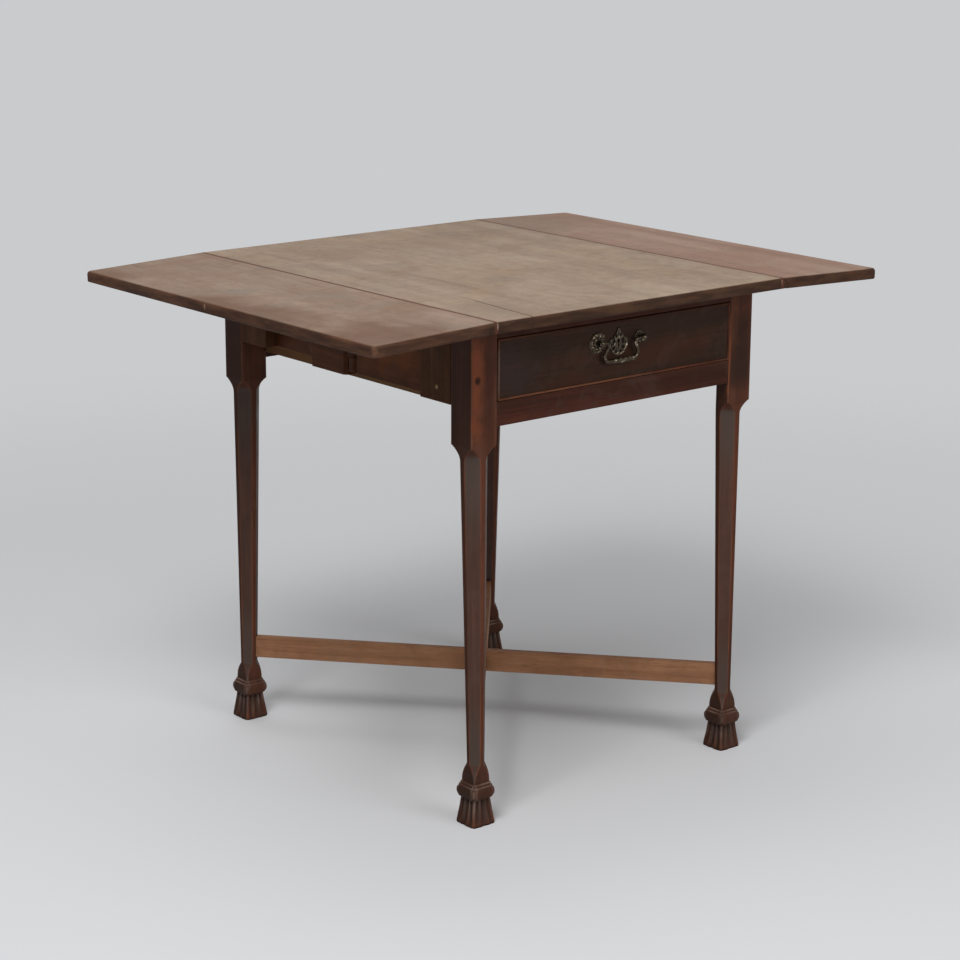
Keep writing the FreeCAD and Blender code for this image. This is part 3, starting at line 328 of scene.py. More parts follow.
topLook = {
    "grain": "y", "dark": rgb(115, 97, 82), "middle": rgb(143, 125, 108), "light": rgb(159, 141, 122),
    "patina": 0.5, "patinaColour": rgb(128, 108, 91), "pores": 0.42, "poreColour": rgb(84, 66, 53),
    "arris": 0.0014, "wear": 0.2, "leastWear": 0.1, "wearColour": rgb(96, 70, 52),
    "gloss": (0.48, 0.68), "relief": 0.22, "ribbon": 26, "blotch": 7, "shine": 0.09,
    "edge": 0.97, "edgeTurn": (0.72, 0.985), "edgeColour": rgb(44, 26, 16), "edgeLight": rgb(70, 45, 30),
    "streakScale": (110, 16), "streakRange": (0.35, 0.68),
    "cloudSize": 9, "greyCloud": 0.45, "greyRange": (0.5, 0.7), "greyColour": rgb(116, 104, 93),
    "warmCloud": 0.3, "warmRange": (0.5, 0.68), "warmColour": rgb(150, 126, 100),
    "warmShift": (5.3, 1.9, 0), "warmScale": 0.8,
    "fleck": 0.24, "fleckSize": 55, "fleckRange": (0.46, 0.7), "fleckColour": rgb(104, 80, 64),
    "jointX": 0.261, "jointWidth": (0.0012, 0.0045), "jointDirt": 0.75, "jointColour": rgb(84, 48, 36),
    "split": 0.85, "splitStart": -0.171, "splitSlope": 0.0844, "splitRun": (-0.235, -0.15),
    "splitWidth": (0.0005, 0.0019), "splitColour": rgb(50, 35, 27), "waver": 0.004, "waverScale": 40,
    "under": 0.75, "underTurn": (-0.95, -0.6), "underColour": rgb(76, 52, 38),
    "paints": (cloudy, stains, darkUnder, darkEdges, jointLines, topSplit, spots),
    "stains": [((-0.2, -0.28, 0.711), (0.05, 0.09, 0.05), rgb(122, 106, 90), 0.5, 0.6)],
    "spots": [
        ((-0.259, -0.341, 0.705), (0.0016, 0.006, 0.006), rgb(150, 136, 124), 0.6, 0.4),
        ((0.26, -0.341, 0.705), (0.0014, 0.006, 0.007), rgb(138, 112, 96), 0.6, 0.4),
    ],
}
leafPaints = (cloudy, stains, darkUnder, darkEdges, jointLines, spots)
leftLook = {
    **topLook, "paints": leafPaints, "shift": (3.1, 0.7, 0), "dark": rgb(108, 89, 76), "middle": rgb(135, 115, 100),
    "light": rgb(153, 134, 118), "patinaColour": rgb(112, 88, 72), "greyColour": rgb(112, 104, 92), "greyCloud": 0.7,
    "warmColour": rgb(122, 92, 70), "warmCloud": 0.35, "edgeColour": rgb(50, 31, 21), "edgeLight": rgb(80, 52, 37),
    "stains": [
        ((-0.462, -0.06, 0.705), (0.09, 0.26, 0.03), rgb(92, 66, 50), 0.66, 1.1),
        ((-0.41, -0.3, 0.705), (0.13, 0.12, 0.03), rgb(90, 62, 46), 0.66, 1.1),
        ((-0.462, 0.3, 0.705), (0.06, 0.08, 0.03), rgb(100, 74, 58), 0.5, 0.8),
    ],
    "spots": [
        ((-0.457, 0.034, 0.698), (0.004, 0.0024, 0.006), rgb(140, 114, 92), 0.65, 0.5),
        ((-0.455, -0.34, 0.698), (0.007, 0.006, 0.009), rgb(118, 86, 66), 0.35, 0.9),
        ((-0.264, -0.341, 0.706), (0.002, 0.005, 0.004), rgb(140, 124, 110), 0.4, 0.4),
    ],
}
rightLook = {
    **topLook, "paints": leafPaints, "shift": (7.3, 2.2, 0), "dark": rgb(114, 90, 76), "middle": rgb(140, 115, 99),
    "light": rgb(156, 132, 115), "patinaColour": rgb(133, 103, 88), "greyColour": rgb(120, 102, 88),
    "greyCloud": 0.4, "warmColour": rgb(141, 107, 90), "warmCloud": 0.45,
    "stains": [((0.3, 0.28, 0.705), (0.2, 0.16, 0.03), rgb(118, 100, 86), 0.6, 0.8)],
    "spots": [((0.45, -0.34, 0.7), (0.02, 0.012, 0.012), rgb(60, 38, 28), 0.5, 0.5)],
}
topWood = woodFinish("fadedTopWood", topLook)
leftWood = woodFinish("fadedLeafWood", leftLook)
rightWood = woodFinish("redderLeafWood", rightLook)


def dusty(tree, place, colour, look):
    # Grey bloom of old wax in soft clouds
    clouds = noise(tree, place, look["bloomSize"], detail=4, roughness=0.62, distortion=0.8)
    return mixed(tree, band(tree, clouds, *look["bloomRange"], (0.0, look["bloom"])), colour, look["bloomColour"])


def lowDark(tree, place, colour, look):
    # Polish and dirt gather towards the feet
    low = band(tree, axisOf(tree, place, "Z"), *look["lowRange"], (look["low"], 0.0))
    return mixed(tree, low, colour, look["lowColour"])


def faceLightAndShade(tree, place, colour, look):
    # Front and back faces are painted lighter and redder in patches, as lit faces; sides are painted darker, as shaded
    # faces; chamfers carry a painted grey sheen
    normal = addNode(tree, "SeparateXYZ", Vector=addNode(tree, "TexCoord").outputs["Normal"])
    turnX, turnY = (maths(tree, "ABSOLUTE", normal.outputs[axis]) for axis in "XY")
    shadedSides = band(tree, turnX, *look["sideTurn"], (0.0, look["sideShade"]))
    litFronts = band(tree, turnY, *look["frontTurn"], (0.0, look["frontLight"]))
    lightPatches = noise(tree, stretched(tree, place, *look["patchScale"], "z"), 1, detail=5, roughness=0.65)
    litFronts = maths(tree, "MULTIPLY", litFronts, band(tree, lightPatches, *look["lightPatchRange"]))
    slant = maths(tree, "MULTIPLY", turnX, turnY)
    height = axisOf(tree, place, "Z")
    low = band(tree, height, *look["greyLow"], falling)
    ends = maths(tree, "ADD", band(tree, height, *look["greyHigh"]), low)
    # How strong the painted sheen on the chamfers is, by height up the leg
    thick = maths(tree, "MULTIPLY_ADD", ends, 1 - look["greyLeast"], look["greyLeast"], clamp=True)
    grey = maths(tree, "MULTIPLY", band(tree, slant, *look["slantRange"], (0.0, look["chamferSheen"])), thick)
    colour = mixed(tree, shadedSides, colour, look["sideShadeColour"])
    colour = mixed(tree, litFronts, colour, look["frontLitColour"])
    return mixed(tree, grey, colour, look["greyColour"])


def hollowsShadeAndDirt(tree, place, colour, look):
    # Painted shade and dirt darken the hollows of the carving, by how closed in they are
    hollow = addNode(tree, "AmbientOcclusion", samples=6, Distance=look["hollowReach"]).outputs["AO"]
    return mixed(tree, band(tree, hollow, *look["hollowRange"], (look["hollowShadeAndDirt"], 0.0)), colour, look["poreColour"])


baseLook = {
    "dark": rgb(48, 26, 19), "middle": rgb(75, 44, 32), "light": rgb(102, 63, 47),
    "patina": 0.5, "patinaColour": rgb(55, 34, 25), "pores": 0.5, "poreColour": rgb(26, 15, 10),
    "arris": 0.0016, "wear": 0.8, "leastWear": 0.15, "wearColour": rgb(124, 74, 49),
    "gloss": (0.34, 0.56), "relief": 0.2, "ribbon": 40, "blotch": 14, "shine": 0.06,
    "bloom": 0.2, "bloomSize": 22, "bloomRange": (0.48, 0.7), "bloomColour": rgb(84, 68, 62),
    "paints": (dusty,),
}
legWood = woodFinish("darkLegWood", {
    **baseLook, "grain": "z", "paints": (dusty, faceLightAndShade, lowDark, hollowsShadeAndDirt, spots),
    "rubbedAndSheen": "rubbedAndSheen", "wear": 0.95, "leastWear": 0.14, "wearColour": rgb(118, 70, 47),
    # The pale grey of a painted highlight, which worn places take low on the foot
    "lowWearSheen": rgb(134, 112, 99), "lowWearSheenRise": (0.006, 0.03), "lowWearSheenFall": (0.064, 0.08),
    "sideShade": 0.6, "sideTurn": (0.8, 0.95), "sideShadeColour": rgb(42, 22, 13),
    "frontLight": 0.5, "frontTurn": (0.85, 0.97), "frontLitColour": rgb(94, 52, 35),
    "patchScale": (8, 26), "lightPatchRange": (0.36, 0.62),
    "chamferSheen": 0.8, "slantRange": (0.34, 0.47), "greyColour": rgb(77, 66, 61),
    "greyHigh": (0.38, 0.49), "greyLow": (0.09, 0.2), "greyLeast": 0.42,
    "low": 0.45, "lowRange": (0.02, 0.16), "lowColour": rgb(48, 37, 31),
    "hollowReach": 0.008, "hollowRange": (0.45, 0.92), "hollowShadeAndDirt": 0.9,
    "spots": [
        ((-0.251, -0.289, 0.61), (0.018, 0.006, 0.11), rgb(116, 62, 39), 0.6, 1.6),
        ((0.24, -0.289, 0.6), (0.04, 0.006, 0.12), rgb(40, 27, 22), 0.8, 1.2),
        ((0.2145, -0.288, 0.6), (0.0026, 0.006, 0.085), rgb(136, 78, 50), 0.7, 1.2),
        ((-0.226, -0.289, 0.63), (0.013, 0.006, 0.1), rgb(52, 30, 23), 0.55, 1.3),
        ((-0.2476, -0.288, 0.623), (0.007, 0.008, 0.0078), rgb(32, 22, 18), 0.9, 0.4),
    ],
})
railWood = woodFinish("darkRailWood", {
    **baseLook, "grain": "x", "dark": rgb(38, 18, 12), "middle": rgb(56, 29, 21), "light": rgb(80, 42, 30),
    "patina": 0.4,
})
drawerWood = woodFinish("drawerFrontWood", {
    **baseLook, "grain": "x", "shift": (1.7, 0, 4.1), "ribbon": 22, "paints": (dusty, spots), "bloom": 0.15,
    "dark": rgb(33, 22, 15), "middle": rgb(49, 32, 22), "light": rgb(68, 41, 28), "patinaColour": rgb(42, 31, 25),
    "spots": [
        ((0.1, -0.287, 0.62), (0.12, 0.02, 0.03), rgb(70, 36, 24), 0.25, 1.0),
        ((-0.09, -0.287, 0.6), (0.07, 0.02, 0.02), rgb(68, 36, 26), 0.25, 0.9),
        ((-0.19, -0.287, 0.63), (0.06, 0.02, 0.05), rgb(54, 44, 44), 0.45, 0.9),
    ],
})
sideWood = woodFinish("darkSideWood", {
    **baseLook, "grain": "y", "dark": rgb(52, 26, 11), "middle": rgb(76, 41, 19), "light": rgb(104, 60, 33),
    "bloom": 0.12, "paints": (dusty, spots),
    # A painted pool of light, reddish, on the knuckle board towards the front
    "spots": [((-0.258, -0.1, 0.65), (0.02, 0.1, 0.06), rgb(112, 62, 31), 0.5, 1.4)],
})
beadWood = woodFinish("beadWood", {
    **baseLook, "grain": "x", "dark": rgb(50, 25, 16), "middle": rgb(78, 43, 28), "light": rgb(100, 60, 41),
    "wear": 0.35, "wearColour": rgb(110, 68, 47), "blotch": 20, "leastWear": 0.0, "paints": (dusty, spots),
    "spots": [
        ((-0.08, -0.288, 0.591), (0.2, 0.02, 0.006), rgb(126, 84, 60), 0.42, 1.0),
        ((-0.213, -0.288, 0.63), (0.005, 0.02, 0.05), rgb(112, 96, 88), 0.5, 0.9),
        # Painted shade along the top bead, under the top rail
        ((0.03, -0.288, 0.674), (0.26, 0.02, 0.007), rgb(42, 24, 17), 0.85, 0.6),
    ],
})
plainWood = woodFinish("plainInnerWood", {
    **baseLook, "grain": "y", "dark": rgb(82, 55, 35), "middle": rgb(108, 77, 50), "light": rgb(132, 98, 67),
    "patinaColour": rgb(96, 70, 48), "poreColour": rgb(66, 44, 28), "wear": 0.3, "wearColour": rgb(150, 118, 84),
    "gloss": (0.55, 0.75), "bloom": 0.1, "bloomColour": rgb(110, 92, 74),
})
packingWood = woodFinish("packingWood", {
    **baseLook, "grain": "z", "dark": rgb(50, 29, 15), "middle": rgb(73, 44, 25), "light": rgb(98, 63, 39),
    "patinaColour": rgb(60, 37, 21), "gloss": (0.45, 0.65), "bloom": 0.1, "paints": (dusty, spots),
    "spots": [((-0.258, -0.215, 0.604), (0.006, 0.004, 0.004), rgb(160, 130, 96), 0.8, 0.4)],
})
stretcherLook = {
    **baseLook, "grain": "x", "dark": rgb(104, 70, 49), "middle": rgb(138, 98, 71), "light": rgb(164, 121, 91),
    "patina": 0.45, "patinaColour": rgb(106, 71, 50), "poreColour": rgb(62, 40, 28), "wear": 0.6,
    "wearColour": rgb(162, 121, 91), "gloss": (0.45, 0.65), "bloom": 0.2, "bloomColour": rgb(124, 100, 82),
    "reach": (0.236, 0.273),  # where the legs stand, which sets the angle of the grain
}
stretcherAngle = math.atan2(stretcherLook["reach"][1], stretcherLook["reach"][0])
lowerWood = woodFinish("stretcherWoodLower", {**stretcherLook, "turn": -stretcherAngle})
upperWood = woodFinish("stretcherWoodUpper", {**stretcherLook, "turn": stretcherAngle, "shift": (0.4, 1.3, 0.6)})

brassLook = {
    "cloud": 160, "speck": 900, "hollow": 0.004, "arris": 0.0008, "dark": rgb(60, 51, 40), "middle": rgb(90, 78, 62),
    "bright": rgb(214, 203, 180), "grime": 0.8, "grimeColour": rgb(36, 29, 22), "metal": 0.85,
    "gloss": (0.14, 0.32), "lightPatches": 0.7,
}
brass = brassFinish("agedBrass", brassLook)
plateBrass = brassFinish("agedPlateBrass", {
    **brassLook, "pierced": "pierced", "piercedColour": rgb(24, 16, 12), "dark": rgb(62, 53, 43),
    "middle": rgb(94, 82, 66),
})
iron = brassFinish("darkIron", {
    **brassLook, "cloud": 120, "speck": 700, "dark": rgb(44, 40, 37), "middle": rgb(66, 60, 55),
    "bright": rgb(120, 114, 106), "grime": 0.7, "grimeColour": rgb(48, 30, 20), "metal": 0.8,
    "gloss": (0.42, 0.65), "lightPatches": 0.1,
})
print("finishes mixed")

# Which finish each node gets, by the start of its name; the first that fits wins
finishes = [
    ("top_board", topWood), ("leaf_left", leftWood), ("leaf_right", rightWood), ("leg_", legWood),
    ("drawer_rail", railWood), ("top_rail", railWood), ("back_rail", railWood), ("drawer_front", drawerWood),
    ("cock_beads", beadWood), ("side_rail", sideWood), ("knuckle_board", sideWood), ("fly_bracket", sideWood),
    ("packing", packingWood), ("stretcher_lower", lowerWood), ("stretcher_upper", upperWood),
    ("drawer_", plainWood), ("kicker", plainWood), ("handle", brass), ("escutcheon", brass), ("", iron),
]
for name, item in nodes.items():
    finish = next(material for start, material in finishes if name.startswith(start))
    item.data.materials.clear()
    item.data.materials.append(finish)
print("finishes laid on the nodes")


def gridFaces(rows, columns, wrapRows=False):
    # Quads between neighbouring rows of points; columns always close on themselves
    last = rows if wrapRows else rows - 1
    row, column = np.meshgrid(np.arange(last), np.arange(columns), indexing="ij")
    below, beside = (row + 1) % rows, (column + 1) % columns
    corners = [row * columns + column, row * columns + beside, below * columns + beside, below * columns + column]
    return np.stack(corners, -1).reshape(-1, 4)


def addPiece(name, points, material, body, replaced, wrapRows=False, attribute=None):
    # A closed surface from rows of points: quads between rows, and one flat face over each open end
    rows, columns = points.shape[:2]
    flat = points.reshape(-1, 3)
    quads = gridFaces(rows, columns, wrapRows)
    ends = [] if wrapRows else [np.arange(columns)[::-1], np.arange(columns) + (rows - 1) * columns]
    a, b, c, d = (flat[quads[:, k]] - flat.mean(0) for k in range(4))
    volume = np.einsum("ij,ij->", a, np.cross(b, c)) + np.einsum("ij,ij->", a, np.cross(c, d))
    if volume < 0:
        quads, ends = quads[:, ::-1], [end[::-1] for end in ends]
    mesh = bpy.data.meshes.new(name)
    mesh.from_pydata(flat.tolist(), [], quads.tolist() + [end.tolist() for end in ends])
    smooth = np.ones(len(mesh.polygons), bool)
    smooth[len(quads):] = False
    mesh.polygons.foreach_set("use_smooth", smooth)
    if attribute:
        layer = mesh.attributes.new(attribute[0], "FLOAT", "POINT")
        layer.data.foreach_set("value", attribute[1].ravel().astype(np.float32))
    mesh.materials.append(material)
    piece = bpy.data.objects.new(name, mesh)
    bpy.context.scene.collection.objects.link(piece)
    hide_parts(replaced)
    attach(piece, body)
    return piece


def between(start, end, share):
    return start + (end - start) * share


# Legs: square block, hollow cove, tapering shaft with chamfered corners that die into a tongue at the neck,
# two fillets and a knotted band, and a bell carved into reeds like a tassel
leg = {
    "centre": (0.236, 0.266), "splay": 0.007, "columns": 160, "sharpness": 46, "arris": 0.0009, "rubWidth": 38,
    "top": 0.695, "topGap": 0.0004, "block": 0.044, "blockTop": 0.69, "blockBottom": 0.532, "blockEnd": 0.001,
    "blockRows": 12, "innerCut": 0.02, "coveBottom": 0.511, "coveShape": 0.8, "curveRows": 14,
    "shaft": 0.0402, "shaftChamfer": 0.0158, "shaftRows": 40,
    "ankle": 0.0268, "ankleChamfer": 0.0108, "ankleHeight": 0.087,
    "neck": 0.0278, "neckHeight": 0.0616, "neckEarly": 1.9,
    "fillets": 2, "filletDepth": 0.0009, "filletRows": 25, "filletRub": 0.75,
    "band": 0.0386, "bandTop": 0.0537, "bandBottom": 0.0412, "bandBulge": 0.0012, "bandCorner": 0.0046, "bandRows": 13,
    "underRows": 9, "waist": 0.0294, "waistHeight": 0.0382,
    "foot": 0.0424, "footRound": 0.003, "footTuck": 0.0022, "footCorner": 0.0036, "bellShape": 1.15, "bellRows": 22,
    "reeds": 3, "reedDepth": 0.003, "reedShape": 0.8, "reedFade": (5, 0.2), "reedRub": (0.6, 0.4),
    "cornerReed": (0.7, 0.9),
    "knot": 0.002, "knotSize": (0.2, 0.0062), "knotHeight": 0.0472, "knotClear": 0.3, "knotRub": 0.5,
}


def legRows(size):
    # Height, width, corner chamfer and rubbing down the leg: straight runs, quarter sines and half rounds
    arris, blockEnd = size["arris"], size["blockBottom"] + size["blockEnd"]
    rows = [(size["top"] - size["topGap"], size["block"], arris, 0)]
    rows += [(z, size["block"], arris, 0) for z in np.linspace(size["blockTop"], blockEnd, size["blockRows"])]
    down = np.linspace(0, 1, size["curveRows"])
    quarter = np.sin(np.linspace(0, math.pi / 2, size["curveRows"])) ** size["coveShape"]
    rows += zip(between(size["blockBottom"], size["coveBottom"], down), between(size["block"], size["shaft"], quarter),
                between(arris, size["shaftChamfer"], quarter), 0 * down)
    run = np.linspace(0, 1, size["shaftRows"])[1:]
    rows += zip(between(size["coveBottom"], size["ankleHeight"], run), between(size["shaft"], size["ankle"], run),
                between(size["shaftChamfer"], size["ankleChamfer"], run), 0 * run)
    down = down[1:]
    early = np.clip(down * size["neckEarly"], 0, 1)
    soft = early * early * (3 - 2 * early)
    rows += zip(between(size["ankleHeight"], size["neckHeight"], down), between(size["ankle"], size["neck"], soft),
                between(arris, size["ankleChamfer"], (1 - down) ** 2), 0 * down)
    slope = np.linspace(0, 1, size["filletRows"])[1:]
    ridge = np.sin(size["fillets"] * math.pi * slope) ** 2
    rows += zip(between(size["neckHeight"], size["bandTop"], slope),
                between(size["neck"], size["band"], slope) + size["filletDepth"] * (2 * ridge - 1),
                arris + size["bandCorner"] * slope, size["filletRub"] * ridge ** 2)
    bulge = np.linspace(0, 1, size["bandRows"])[1:]
    rows += zip(between(size["bandTop"], size["bandBottom"], bulge),
                size["band"] + size["bandBulge"] * np.sin(math.pi * bulge),
                arris + size["bandCorner"] + 0 * bulge, 0 * bulge)
    under = np.linspace(0, math.pi / 2, size["underRows"])[1:-1]
    rows += zip(between(size["bandBottom"], size["waistHeight"], np.sin(under)),
                between(size["waist"], size["band"], np.cos(under)),
                arris + size["bandCorner"] * np.cos(under), 0 * under)
    bell = np.linspace(0, 1, size["bellRows"])
    height = size["waistHeight"] * (1 - bell)
    lift = np.clip(1 - height / size["footRound"], 0, 1)
    rows += zip(height, between(size["waist"], size["foot"], bell ** size["bellShape"]) - size["footTuck"] * lift ** 2,
                arris + size["footCorner"] * bell, 0 * bell)
    return np.array(rows)


def legSurface(size, sideX, sideY):
    # Each row is an octagon in polar form, r = (sum of (cos / distance)^p)^(-1/p), so that its arrises are soft
    height, width, chamfer, rub = (column[:, None] for column in legRows(size).T)
    angle = np.linspace(0, 2 * math.pi, size["columns"], endpoint=False)[None, :]
    # The front blocks lose their inner corner, to clear the drawer
    inBlock = np.clip((width - size["shaft"]) / (size["block"] - size["shaft"]), 0, 1) * (height > size["coveBottom"])
    cut = inBlock * (size["innerCut"] - size["arris"]) * (sideY < 0)
    innerCorner = 1 if sideX < 0 else 3
    corners = [(width - chamfer - cut * (k == innerCorner)) / math.sqrt(2) for k in range(8)]
    reach = [width / 2 if k % 2 == 0 else corners[k] for k in range(8)]
    faces = np.stack([np.clip(np.cos(angle - k * math.pi / 4), 0, 1) / reach[k] for k in range(8)])
    radius = (faces ** size["sharpness"]).sum(0) ** (-1 / size["sharpness"])
    ranked = np.sort(faces, 0)
    rubbedAndSheen = np.maximum((ranked[-2] / ranked[-1]) ** size["rubWidth"], rub)
    across = np.tan((angle + math.pi / 4) % (math.pi / 2) - math.pi / 4)  # place along a face, -1 to 1
    # Reeds: hollows of raised cosines that leave the corners whole and fade towards the floor
    below = np.clip((size["waistHeight"] - height) / size["waistHeight"], 0, 1)
    start, full = size["cornerReed"]
    corner = np.clip((np.abs(across) - start) / (full - start), 0, 1)
    hollow = (0.5 + 0.5 * np.cos(size["reeds"] * math.pi * across)) ** size["reedShape"] * (1 - corner)
    steep, least = size["reedFade"]
    radius = radius - hollow * size["reedDepth"] * np.clip(steep * (1 - below), least, 1) * (below > 0)
    # Rub on the reeds' ridges and corners; low on the leg its colour is a painted highlight
    ridgeRub, cornerRub = size["reedRub"]
    rubbedAndSheen = np.where(below > 0, ridgeRub * (1 - hollow) ** 2 + cornerRub * corner * below ** 2, rubbedAndSheen)
    # Knots: a smooth knob on each corner of the band
    spread, tall = size["knotSize"]
    knob = np.exp(-((np.abs(across) - 1) / spread) ** 2 - np.abs((height - size["knotHeight"]) / tall) ** 4)
    radius = radius + size["knot"] * knob
    rubbedAndSheen = np.maximum(rubbedAndSheen * (1 - knob ** size["knotClear"]), size["knotRub"] * knob)
    lean = np.clip((size["blockBottom"] - height) / (size["blockBottom"] - size["ankleHeight"]), 0, 1)
    x = sideX * size["centre"][0] + radius * np.cos(angle)
    y = sideY * (size["centre"][1] + size["splay"] * lean) + radius * np.sin(angle)
    return np.stack([x, y, height + 0 * angle], -1), rubbedAndSheen


legChanges = {("front", "right"): {"blockBottom": 0.5275, "coveBottom": 0.5085}}
for end, sideY in (("front", -1), ("back", 1)):
    for side, sideX in (("left", -1), ("right", 1)):
        points, rubbedAndSheen = legSurface({**leg, **legChanges.get((end, side), {})}, sideX, sideY)
        addPiece(f"carvedLeg_{end}_{side}", points, legWood, "base", f"leg_{end}_{side}",
                 attribute=("rubbedAndSheen", rubbedAndSheen))
print("legs carved")

# Swan-neck bail: a round bar whose heading turns by an angle at the neck and back at the bulge
bail = {
    "place": (-0.2965, 0.647), "half": 0.038, "straight": 0.0086, "neck": 0.005, "bulge": 0.0086, "turn": 122,
    "run": 0.0074, "lean": 0.13, "steps": 160, "flatSteps": 40, "around": 20, "thick": 0.0023,
    "lowReach": 0.02, "sag": 0.0004, "sagHalf": 0.03, "belly": 0.0018, "bellyHalf": 0.034,
    "collar": 0.0007, "collarPlace": 0.0066, "collarWidth": 0.0007, "collarDrop": 0.003,
}


def bailSurface(size):
    # Heading against length gives the path by summing; a ring of varying thickness is carried along it
    turn = math.radians(size["turn"])
    marks = np.cumsum([0, size["straight"], size["neck"] * turn, size["run"], size["bulge"] * turn])
    headings = math.pi + np.array([0, 0, turn, turn, 0])
    length = np.linspace(0, marks[-1], size["steps"])
    heading = np.interp(length, marks, headings)
    step = np.diff(length, prepend=0)
    x, z = size["half"] + np.cumsum(np.cos(heading) * step), np.cumsum(np.sin(heading) * step)
    flat = np.linspace(x[-1], 0, size["flatSteps"])[1:]
    x, z = np.append(x, flat), np.append(z, np.full(len(flat), z[-1]))
    x, z = np.append(x, -x[-2::-1]), np.append(z, z[-2::-1])  # the other half mirrors this one
    low = np.clip((-z - 0.5 * size["run"]) / size["lowReach"], 0, 1)
    z = z - size["sag"] * low * np.cos(math.pi / 2 * np.clip(x / size["sagHalf"], -1, 1))
    along = np.stack([np.gradient(x), np.gradient(z)])
    along = along / np.linalg.norm(along, axis=0)
    inward = size["half"] - np.abs(x)
    ring = np.exp(-((inward - size["collarPlace"]) / size["collarWidth"]) ** 2) * (z > -size["collarDrop"])
    swell = low * np.cos(math.pi / 2 * np.clip(x / size["bellyHalf"], -1, 1))
    thick = size["thick"] + size["belly"] * swell + size["collar"] * ring
    turnRound = np.linspace(0, 2 * math.pi, size["around"], endpoint=False)[None, :]
    out, forward = thick[:, None] * np.cos(turnRound), thick[:, None] * np.sin(turnRound)
    return np.stack([x[:, None] - along[1][:, None] * out, size["place"][0] + forward - size["lean"] * z[:, None],
                     size["place"][1] + z[:, None] + along[0][:, None] * out], -1)


addPiece("swanNeckBail", bailSurface(bail), brass, "handle_bail", "handle_bail")

# Rosette and boss: a turned profile, with petals and a beaded rim pressed into the larger one
drawerFace = -0.287
disc = {
    "z": bail["place"][1], "hole": 0.0043, "rows": 44, "thick": 0.0008, "edge": 24, "collar": 0.0016,
    "collarWidth": 0.16, "rim": 0.0011, "rimPlace": 0.88, "rimWidth": 0.1, "petal": 0.0013, "petalRun": (0.2, 0.56),
    "petalShape": 0.7, "bead": 0.0004, "beadWidth": 0.08,
}
rosette = {**disc, "x": -0.038, "radius": 0.0145, "petals": 8, "beads": 28, "columns": 224}
boss = {**disc, "x": 0.038, "radius": 0.0085, "petals": 0, "beads": 0, "columns": 96}


def pressedDisc(size):
    # Height of the metal against radius and angle: collar, hollow, petals as raised sines, and a rounded rim
    share = np.linspace(0, 1, size["rows"])[:, None]
    angle = np.linspace(0, 2 * math.pi, size["columns"], endpoint=False)[None, :]
    radius = between(size["hole"], size["radius"], share) + 0 * angle
    fromRim = share - size["rimPlace"]
    height = size["thick"] + size["collar"] * np.exp(-(share / size["collarWidth"]) ** 2)
    height = height + size["rim"] * np.exp(-(fromRim / size["rimWidth"]) ** 2)
    if size["petals"]:
        start, run = size["petalRun"]
        leaf = np.abs(np.cos(size["petals"] / 2 * angle)) ** size["petalShape"]
        height = height + size["petal"] * np.sin(math.pi * np.clip((share - start) / run, 0, 1)) * leaf
        beads = np.cos(size["beads"] * angle) * np.exp(-(fromRim / size["beadWidth"]) ** 2)
        height = height + size["bead"] * beads
    height = np.concatenate([height * (1 - share ** size["edge"]) + 0 * angle, 0 * angle, 0 * angle])
    radius = np.concatenate([radius, radius[-1:], radius[:1]])
    return np.stack([size["x"] + radius * np.cos(angle), drawerFace - height, size["z"] + radius * np.sin(angle)], -1)


for name, size, replaced in (("pressedRosette", rosette, "handle_rosette_left"),
                             ("plainBoss", boss, "handle_rosette_right")):
    addPiece(name, pressedDisc(size), brass, "drawer", replaced, wrapRows=True)

# Keyhole plate: rings of points from the keyhole out to a scrolled outline, with sunk piercings.
# The outline is degrees and millimetres; a piercing is its centre, half sizes in millimetres and lean in degrees
plate = {
    "z": 0.6418, "rows": 46, "columns": 360, "thick": 0.0015, "floor": 0.0003, "edge": 40,
    "rim": 0.0007, "rimPlace": 0.93, "rimWidth": 0.06, "eye": (0.0042, 0.0026), "slot": (0.0012, 0.0048),
    "outline": ((-90, 17.2), (-72, 16.0), (-55, 17.2), (-38, 15.4), (-20, 16.6), (-6, 17.4), (8, 16.2), (20, 17.2),
                (34, 14.8), (46, 12.4), (56, 13.8), (66, 15.2), (74, 15.0), (80, 17.2), (85, 21.2), (90, 23.2)),
    "piercings": ((8.2, 3.4, 2.4, 4.0, 18), (8.8, -5.4, 2.9, 2.4, -20), (4.4, -10.8, 2.4, 1.7, 12),
                  (4.2, 11.2, 1.7, 2.9, -18), (12.6, -0.6, 1.3, 2.4, 0), (0.0, 14.6, 1.0, 2.2, 0)),
    "piercedEdge": (1.15, 0.3),
}


